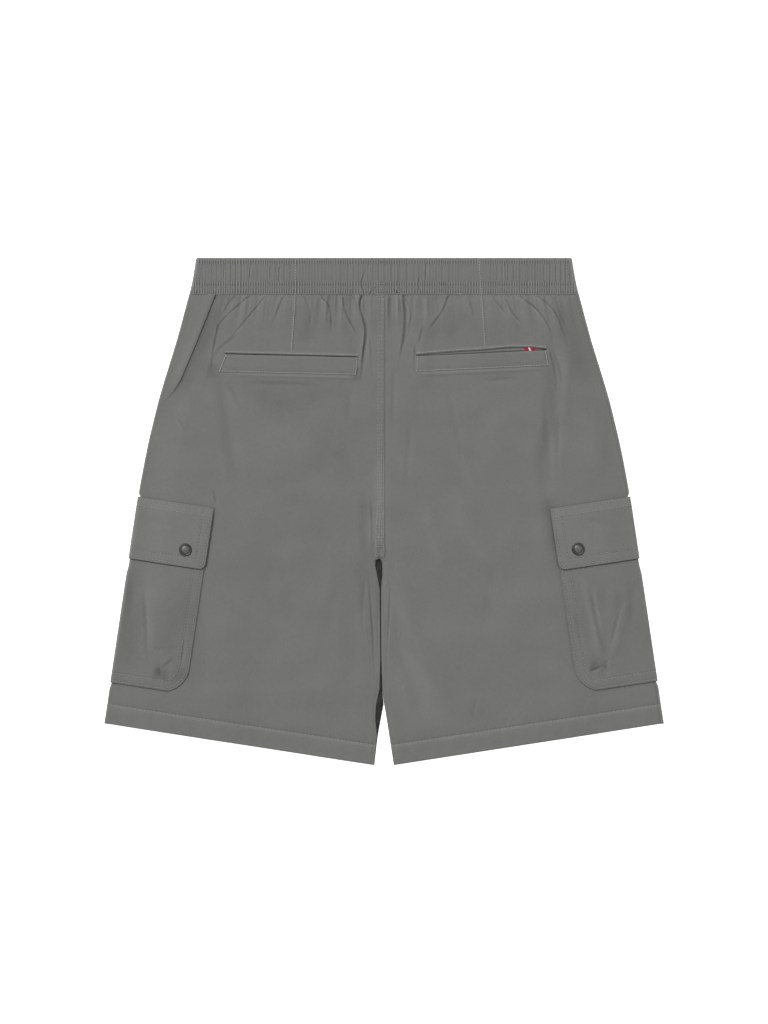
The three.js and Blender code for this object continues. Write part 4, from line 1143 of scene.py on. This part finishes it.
class Finish:
    """A material, and the one way its nodes are added."""

    def __init__(self, name, **constants):
        self.material = bpy.data.materials.new(name)
        self.material.use_nodes = True
        self.tree = self.material.node_tree
        self.shader = self.tree.nodes["Principled BSDF"]
        for socket, value in constants.items():
            self.shader.inputs[socket.replace("_", " ")].default_value = value

    def add(self, kind, settings=None, values=None, output=0):
        node = self.tree.nodes.new(kind)
        for setting, value in (settings or {}).items():
            setattr(node, setting, value)
        for socket, value in (values or {}).items():
            if isinstance(value, Signal):
                self.tree.links.new(value.socket, node.inputs[socket])
            else:
                node.inputs[socket].default_value = value
        return Signal(self, node.outputs[output])

    def feed(self, socket, signal):
        self.tree.links.new(signal.socket, self.shader.inputs[socket])

    def place(self):
        return self.add("ShaderNodeTexCoord", output="Object")

    def axes(self):
        place = self.place()
        return [self.add("ShaderNodeSeparateXYZ", {}, {0: place}, axis) for axis in "XYZ"]

    def noise(self, scale, detail=2.0, stretch=(1, 1, 1)):
        place = self.add("ShaderNodeMapping", {}, {"Vector": self.place(), "Scale": stretch})
        values = {"Vector": place, "Scale": scale, "Detail": detail}
        return self.add("ShaderNodeTexNoise", {}, values, "Fac")

    def blend(self, factor, dark, light):
        settings = {"data_type": "RGBA"}
        dark, light = (colour if isinstance(colour, Signal) else (*colour, 1.0) for colour in (dark, light))
        values = {0: factor, 6: dark, 7: light}
        return self.add("ShaderNodeMix", settings, values, 2)

    def bump(self, height, distance, strength=1.0):
        values = {"Height": height, "Distance": distance, "Strength": strength}
        self.feed("Normal", self.add("ShaderNodeBump", {}, values, "Normal"))


CLOTH_DARK = (0.088, 0.0882, 0.0843)
CLOTH_LIGHT = (0.205, 0.2054, 0.1965)
# Inside of the cloth: its darker wrong side, darkened further as painted shade
CLOTH_INSIDE_SHADED = ((0.010, 0.010, 0.0095), (0.060, 0.060, 0.057))
# Painted shadow beside the flaps' and patches' edges: its colour and its share
CLOTH_SHADED = (0.045, 0.045, 0.043)
POCKET_SHADOW_SHARE = 0.4
THREAD_TONES = ((0.17, 0.17, 0.164), (0.28, 0.28, 0.27))
PALE_THREAD_TONES = ((0.25, 0.25, 0.24), (0.42, 0.42, 0.41))
TAPE_RED = ((0.17, 0.006, 0.018), (0.42, 0.014, 0.036))
TAPE_STRIPE = (0.62, 0.6, 0.58)
TAPE_RIB = 0.0005
SNAP_RIM = ((0.03, 0.03, 0.03), (0.075, 0.075, 0.073))
SNAP_PAINTED_HIGHLIGHT = ((0.06, 0.06, 0.058), (0.18, 0.18, 0.175))
PAPER = ((0.90, 0.90, 0.90), (0.92, 0.92, 0.92))
WEAVE_PITCH = 0.00062


def pocket_edge_shadow(x, y):
    """Painted shadow line: 1 right at the outside of a flap's or patch's edge and just above a flap's
    top edge, falling off within about two millimetres: e to the minus distance to the layer's
    rounded outline, in the leg's turned frame."""
    side = x.math("SIGN")
    across = x.math("ABSOLUTE") * 1000.0 - float(half_outline(POCKET_START))
    below = y * -1000.0 + (TOP_EDGE - POCKET_START)
    inwards = below * math.sin(SIDE_LEAN) - across * math.cos(SIDE_LEAN)
    along = below * math.cos(SIDE_LEAN) + across * math.sin(SIDE_LEAN)

    def halfway(key):
        left, right = POCKETS[-1][key], POCKETS[1][key]
        return side * ((right - left) / 2) + (right + left) / 2

    line = 0.6 * (along.math("MINIMUM", 0.0) * 0.9).math("EXPONENT") * along.math("LESS_THAN", 0.1)
    line = line * inwards.math("LESS_THAN", halfway("wide")) * along.math("GREATER_THAN", -8.0)
    for start, deep, corner, strong in ((0.0, FLAP_DEEP, FLAP_CORNER, 1.0),
                                        (PATCH_START, halfway("deep"), PATCH_CORNER, 0.5)):
        past_side = inwards - halfway("wide") - (0.8 - corner)
        past_end = along - deep + corner
        beyond_side, beyond_end = past_side.math("MAXIMUM", 0.0), past_end.math("MAXIMUM", 0.0)
        round_corner = (beyond_side * beyond_side + beyond_end * beyond_end).math("SQRT")
        out = round_corner + past_side.math("MAXIMUM", past_end).math("MINIMUM", 0.0) - corner
        edge = (out.math("MAXIMUM", 0.0) * -0.9).math("EXPONENT") * out.math("GREATER_THAN", -0.1)
        line = line.math("MAXIMUM", edge * strong * along.math("GREATER_THAN", start))
    return line


def main_cloth(name, paler=0.0, wear_and_painted_light=0.18):
    """Matt plain weave: threads both ways as a fine bump, clouded and slubbed in the colour, paler
    on ridges as wear and painted light, with painted shade down in the creases, hollows and broad
    folds, a painted shadow line beside the pockets' edges, and darkest inside, on the darker wrong
    side with painted shade."""
    finish = Finish(name, Sheen_Weight=0.1, Sheen_Roughness=0.5, Specular_IOR_Level=0.25)
    x, y, _ = finish.axes()
    warp = (x * (2 * math.pi / WEAVE_PITCH)).math("SINE")
    weft = (y * (2 * math.pi / WEAVE_PITCH)).math("SINE")
    weave = warp * weft
    cloud = finish.noise(22.0, 2.0)
    mottle = finish.noise(150.0, 3.0)
    slub = finish.noise(900.0, 2.0, (1.0, 0.35, 1.0))
    wear_and_shade = finish.add("ShaderNodeAttribute", {"attribute_name": "wear_and_shade"}, {}, "Fac")
    inside = finish.add("ShaderNodeAttribute", {"attribute_name": "inside"}, {}, "Fac")
    tone = (cloud - 0.5) * 0.16 + (mottle - 0.5) * 0.10 + (slub - 0.5) * 0.22 + weave * 0.04
    # Paler on ridges as wear and painted light, darker in creases, hollows and broad folds as painted shade
    outside = finish.blend(tone + wear_and_shade * wear_and_painted_light + (0.5 + paler), CLOTH_DARK, CLOTH_LIGHT)
    # Painted shadow line just outside the flaps' and patches' edges
    outside = finish.blend(pocket_edge_shadow(x, y) * POCKET_SHADOW_SHARE, outside, CLOTH_SHADED)
    # Inside faces: the darker wrong side, with painted shade where they show in the slit between the legs
    finish.feed("Base Color", finish.blend(inside, outside, finish.blend(mottle, *CLOTH_INSIDE_SHADED)))
    finish.feed("Roughness", mottle * 0.1 + 0.8)
    finish.bump(weave * 0.3 + slub * 0.6 + mottle * 1.2, 0.00012)
    return finish.material


def thread(name, dark, light):
    """Matt twisted thread."""
    finish = Finish(name, Specular_IOR_Level=0.3)
    twist = finish.noise(2500.0, 1.0)
    finish.feed("Base Color", finish.blend(twist, dark, light))
    finish.feed("Roughness", twist * 0.2 + 0.55)
    return finish.material


def tab_cloth():
    """Red woven tape with one thin pale stripe across it, a little slanted."""
    finish = Finish("tab_cloth", Specular_IOR_Level=0.3)
    x, y, _ = finish.axes()
    stripe_x, stripe_y = TAB_STRIPE[0] * MM, (TOP_EDGE - TAB_STRIPE[1]) * MM
    away = (x - stripe_x + (y - stripe_y) * TAB_SLANT).math("ABSOLUTE")
    stripe = 1 - away.math("GREATER_THAN", TAB_STRIPE_HALF * MM)
    ribs_across = (y * (2 * math.pi / TAPE_RIB)).math("SINE")
    worn = finish.noise(500.0, 2.0)
    red = finish.blend(worn, *TAPE_RED)
    finish.feed("Base Color", finish.blend(stripe, red, TAPE_STRIPE))
    finish.feed("Roughness", ribs_across * 0.05 + 0.7)
    finish.bump(ribs_across, 0.00004)
    return finish.material


def snap_metal():
    """Dark plated metal under a dull lacquer, clouded and finely brushed, with a painted highlight
    over the dome, streaked lengthwise."""
    finish = Finish("snap_metal", Metallic=0.6)
    wear = finish.noise(260.0, 3.0)
    brushed = finish.noise(900.0, 2.0, (1.0, 0.08, 1.0))
    dome = finish.add("ShaderNodeAttribute", {"attribute_name": "dome"}, {}, "Fac")
    rim = finish.blend(wear, *SNAP_RIM)
    # Painted highlight over the dome
    wear_and_painted_light = finish.blend(brushed * 0.7 + wear * 0.3, *SNAP_PAINTED_HIGHLIGHT)
    finish.feed("Base Color", finish.blend(dome, rim, wear_and_painted_light))
    finish.feed("Roughness", wear * 0.2 + 0.4)
    finish.bump(brushed, 0.00003)
    return finish.material


def floor_paper():
    """White light table: even white with the faintest grain, glowing enough to lose shadows."""
    finish = Finish("floor", Roughness=0.95, Specular_IOR_Level=0.1, Emission_Strength=0.9)
    finish.shader.inputs["Emission Color"].default_value = (1.0, 1.0, 1.0, 1.0)
    grain = finish.noise(60.0, 2.0)
    finish.feed("Base Color", finish.blend(grain, *PAPER))
    return finish.material


CLOTH_FINISH = main_cloth("main_cloth")
# The band's copy shows its wear and painted shade more strongly
BAND_FINISH = main_cloth("band_cloth", wear_and_painted_light=0.42)
# The flaps take a paler copy of the cloth, as painted light
FLAP_FINISH = main_cloth("flap_cloth", paler=0.05)
THREAD = thread("thread", *THREAD_TONES)
PALE_THREAD = thread("pale_thread", *PALE_THREAD_TONES)
TAPE = tab_cloth()
METAL = snap_metal()


# Stitches: length, gap, and how far each kind stands on the cloth
HEM_ROW = (11.5, 277.0)
DART_BESIDE = 0.4
LADDER_DOWN = (23.5, 46.0, 2.6)
LADDER_ACROSS = (-7.6, -0.2)
RUNG_PITCH = 2.1
RUNG_ACROSS = (-8.2, -0.6)
TACK_ACROSS = (-34.6, -33.8, -33.0)
TACK_DOWN = (30.2, 37.6)
BAND_ROW_HALF = 186


def run(height, x, down, length=2.6, gap=0.7, raise_by=0.12):
    """One row of stitches laid on a height function along a line of places."""
    x, down = np.broadcast_arrays(np.asarray(x, float), np.asarray(down, float))
    return stitch_run(points(x, down, height(x, down) + raise_by), length, gap)


def side_rows(side, runs):
    """Rows of one side: hem, dart, flap, patch and welt."""
    def back(x, down):
        return back_height(side, x, down)

    def flap(x, down):
        return flap_height(side, x, down)

    def patch(x, down):
        return patch_height(side, x, down)

    def top(x, down):
        return welt_top(side, x, down)

    t = np.linspace(0, 1, 200)
    x = side * mix(*HEM_ROW, t)
    runs["back"].append(run(back, x, hem_down(x) - HEM_DEPTH))
    path = curve_through(DARTS[side], 30)
    x, down = path[:, 0] + DART_BESIDE, path[:, 1]
    below = down > BAND_DEPTH + 0.4
    runs["end"].append(run(back, x[below], down[below], 2.0, 0.5, 0.2))
    runs["end"].append(run(band_height, x[~below], down[~below] + 0.8, 2.0, 0.5, 0.2))

    wide, deep = POCKETS[side]["wide"], POCKETS[side]["deep"]
    flap_wide = wide + FLAP_WIDER
    for inset in POCKET_ROWS:
        edge = lined_edge(flap_wide, FLAP_DEEP, FLAP_CORNER, inset)
        runs["flap"].append(run(flap, *side_point(side, *edge), 2.5, 0.7, 0.0))
    for along in FLAP_TOP_ROWS:
        inwards = mix(1.0, flap_wide - 1.5, t)
        runs["flap"].append(run(flap, *side_point(side, inwards, along + 0 * t), 2.5, 0.7, 0.1))
    for inset in POCKET_ROWS:
        inwards, along = lined_edge(wide, deep, PATCH_CORNER, inset)
        keep = along > FLAP_DEEP - 4
        runs["flap"].append(run(patch, *side_point(side, inwards[keep], along[keep]), 2.5, 0.7, 0.0))

    (top_in, top_out), (low_in, low_out) = WELTS[side]["top"], WELTS[side]["low"]
    low = mix(np.array(low_in), np.array(low_out), t[:, None])
    runs["welt"].append(run(top, low[:, 0], low[:, 1] - 1.2, 2.2, 0.6, 0.05))
    for start, end, inset in ((top_in, low_in, side * 0.9), (top_out, low_out, -side * 0.9)):
        x, down = mix(start[0], end[0], t) + inset, mix(start[1] + 0.8, end[1] - 0.6, t)
        runs["end"].append(run(top, x, down, 1.9, 0.15, 0.3))
    (x0, d0), (x1, d1) = top_in, top_out
    above = mouth_wide(side, t) + 1.5
    runs["welt"].append(run(back, mix(x0, x1, t), mix(d0, d1, t) - above, 2.2, 0.6, 0.2))


def middle(x, down):
    """Height of the cloth along the centre seam, which the left panel carries."""
    return back_height(-1, x, down)


def middle_rows(runs):
    """Rows along the centre seam and the close rungs above the crotch."""
    down = mix(BAND_DEPTH + 1, SEAM_END, np.linspace(0, 1, 200))
    for row in SEAM_ROWS:
        runs["back"].append(run(middle, row + 0 * down, down, raise_by=0.05))
    for down in np.arange(LEGS_FROM, SEAM_END, RUNG_PITCH):
        x = np.linspace(*RUNG_ACROSS, 30)
        runs["back"].append(run(middle, x, down + 0.3 * np.sin(down) + 0 * x, 2.3, 0.3, 0.2))


def band_rows(runs):
    """Rows round the band, the tack and zigzags that hold the elastic, the ladder over the centre
    seam and the rows beside the side folds."""
    x = np.linspace(-BAND_ROW_HALF, BAND_ROW_HALF, 900)
    for row in BAND_STITCH_ROWS:
        runs["band"].append(run(band_height, x, row + 0 * x, 1.9, 0.45, 0.05))
    tack_down = np.linspace(*TACK_DOWN, 60)
    for across in TACK_ACROSS:
        runs["tack"].append(run(band_height, across + 0 * tack_down, tack_down, 1.6, 0.1, 0.4))
    for zigzag in ZIGZAGS:
        places = np.linspace(0, len(zigzag) - 1, 80)
        x, down = (np.interp(places, range(len(zigzag)), column) for column in zip(*zigzag))
        runs["tack"].append(run(band_height, x, down, 1.6, 0.1, 0.4))
    for down in np.arange(*LADDER_DOWN):
        x = np.linspace(*LADDER_ACROSS, 30)
        ground = band_height if down < BAND_DEPTH else middle
        runs["tack"].append(run(ground, x, down + 0 * x, 2.3, 0.1, 0.25))
    for side in (-1, 1):
        down = np.linspace(3.0, BAND_DEPTH - 1, 60)
        x = side * (half_outline(down) - 6.5)
        runs["back"].append(run(band_height, x, down, 2.2, 0.6, 0.3))


def lined_edge(wide, deep, corner, inset):
    """Line a set distance inside a pocket layer's free edges: down its inner side, round its corner
    and out along its bottom."""
    radius = max(corner - inset, 0.5)
    turn = np.linspace(0, math.pi / 2, 20)
    side_part = np.stack([np.full(60, wide - inset), np.linspace(1.0, deep - inset - radius, 60)])
    corner_part = np.stack([wide - inset - radius + radius * np.cos(turn),
                            deep - inset - radius + radius * np.sin(turn)])
    low_part = np.stack([np.linspace(wide - inset - radius, 1.0, 60), np.full(60, deep - inset)])
    return np.concatenate([side_part, corner_part, low_part], axis=1)


made = {"waistband": waistband("waistband_cloth", BAND_FINISH)}
for side, word in ((-1, "left"), (1, "right")):
    made["back_" + word] = back_panel(side, "back_cloth_" + word, CLOTH_FINISH)
    made["front_" + word] = front_panel(side, "front_cloth_" + word, CLOTH_FINISH)
    made["welt_" + word] = welt(side, "welt_cloth_" + word, CLOTH_FINISH)
    made["cargo_pocket_" + word] = cargo_pocket(side, "pocket_cloth_" + word, CLOTH_FINISH)
    made["cargo_flap_" + word] = cargo_flap(side, "flap_cloth_" + word, FLAP_FINISH)
    made["snap_" + word] = snap(side, "snap_cap_" + word, METAL)
made["tab"] = tab("tape_tab", TAPE)
for node, piece in made.items():
    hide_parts(node)

runs = {key: [] for key in ("back", "flap", "welt", "end", "band", "tack")}
for side in (-1, 1):
    side_rows(side, runs)
middle_rows(runs)
band_rows(runs)
seams = {
    "band": [stitching("band_stitching", runs["band"], BAND_FINISH, 0.25),
             stitching("band_tacks", runs["tack"], THREAD, 0.34)],
    "back": [stitching("back_stitching", runs["back"], THREAD),
             stitching("welt_stitching", runs["welt"], PALE_THREAD, 0.32),
             stitching("welt_ends", runs["end"], PALE_THREAD, 0.42)],
    "pocket": [stitching("pocket_stitching", runs["flap"], THREAD)],
}


# The room, in metres: a white table, soft lamps, and a camera straight above
FLOOR_REACH = 3.0
FLOOR_DOWN = 0.0005
PHOTO_HIGH = 1024.0
PHOTO_CENTRE_Y = -0.5
CAMERA_UP = 3.2
FOCUS_UP = 0.008
SENSOR_HIGH = 24.0
LAMPS = (
    # name, place, width, power
    ("key", (-4.2, 5.0, 6.8), 2.4, 790.0),
    ("fill", (5.2, 2.0, 7.2), 3.2, 190.0),
    ("low", (0.3, -4.5, 5.4), 3.0, 90.0),
)


def make_floor():
    """Square table top just under the shorts."""
    mesh = bpy.data.meshes.new("floor")
    turns = ((-1, -1), (1, -1), (1, 1), (-1, 1))
    corners = [(FLOOR_REACH * across, FLOOR_REACH * along, -FLOOR_DOWN) for across, along in turns]
    mesh.from_pydata(corners, [], [(0, 1, 2, 3)])
    mesh.materials.append(floor_paper())
    floor = bpy.data.objects.new("floor", mesh)
    bpy.context.scene.collection.objects.link(floor)


def make_lamp(name, place, wide, power):
    """Square soft lamp, turned towards the middle of the shorts."""
    lamp = bpy.data.lights.new(name, "AREA")
    lamp.shape = "RECTANGLE"
    lamp.size = lamp.size_y = wide
    lamp.energy = power
    holder = bpy.data.objects.new(name, lamp)
    holder.location = place
    holder.rotation_euler = (-Vector(place)).to_track_quat("-Z", "Y").to_euler()
    bpy.context.scene.collection.objects.link(holder)


def make_camera():
    """Straight above the middle of the photograph's frame, far away, at one millimetre a pixel."""
    camera = bpy.data.cameras.new("camera")
    camera.sensor_fit = "VERTICAL"
    camera.sensor_height = SENSOR_HIGH
    camera.lens = SENSOR_HIGH * CAMERA_UP / (PHOTO_HIGH * MM)
    camera.clip_end = 20.0
    holder = bpy.data.objects.new("camera", camera)
    holder.location = (0.0, PHOTO_CENTRE_Y * MM, CAMERA_UP + FOCUS_UP)
    bpy.context.scene.collection.objects.link(holder)
    bpy.context.scene.camera = holder


make_floor()
make_camera()
for lamp in LAMPS:
    make_lamp(*lamp)
world = bpy.data.worlds.new("room")
world.use_nodes = True
world.node_tree.nodes["Background"].inputs["Color"].default_value = (1.0, 1.0, 1.0, 1.0)
world.node_tree.nodes["Background"].inputs["Strength"].default_value = 0.2
bpy.context.scene.world = world
bpy.context.scene.view_settings.view_transform = "Standard"
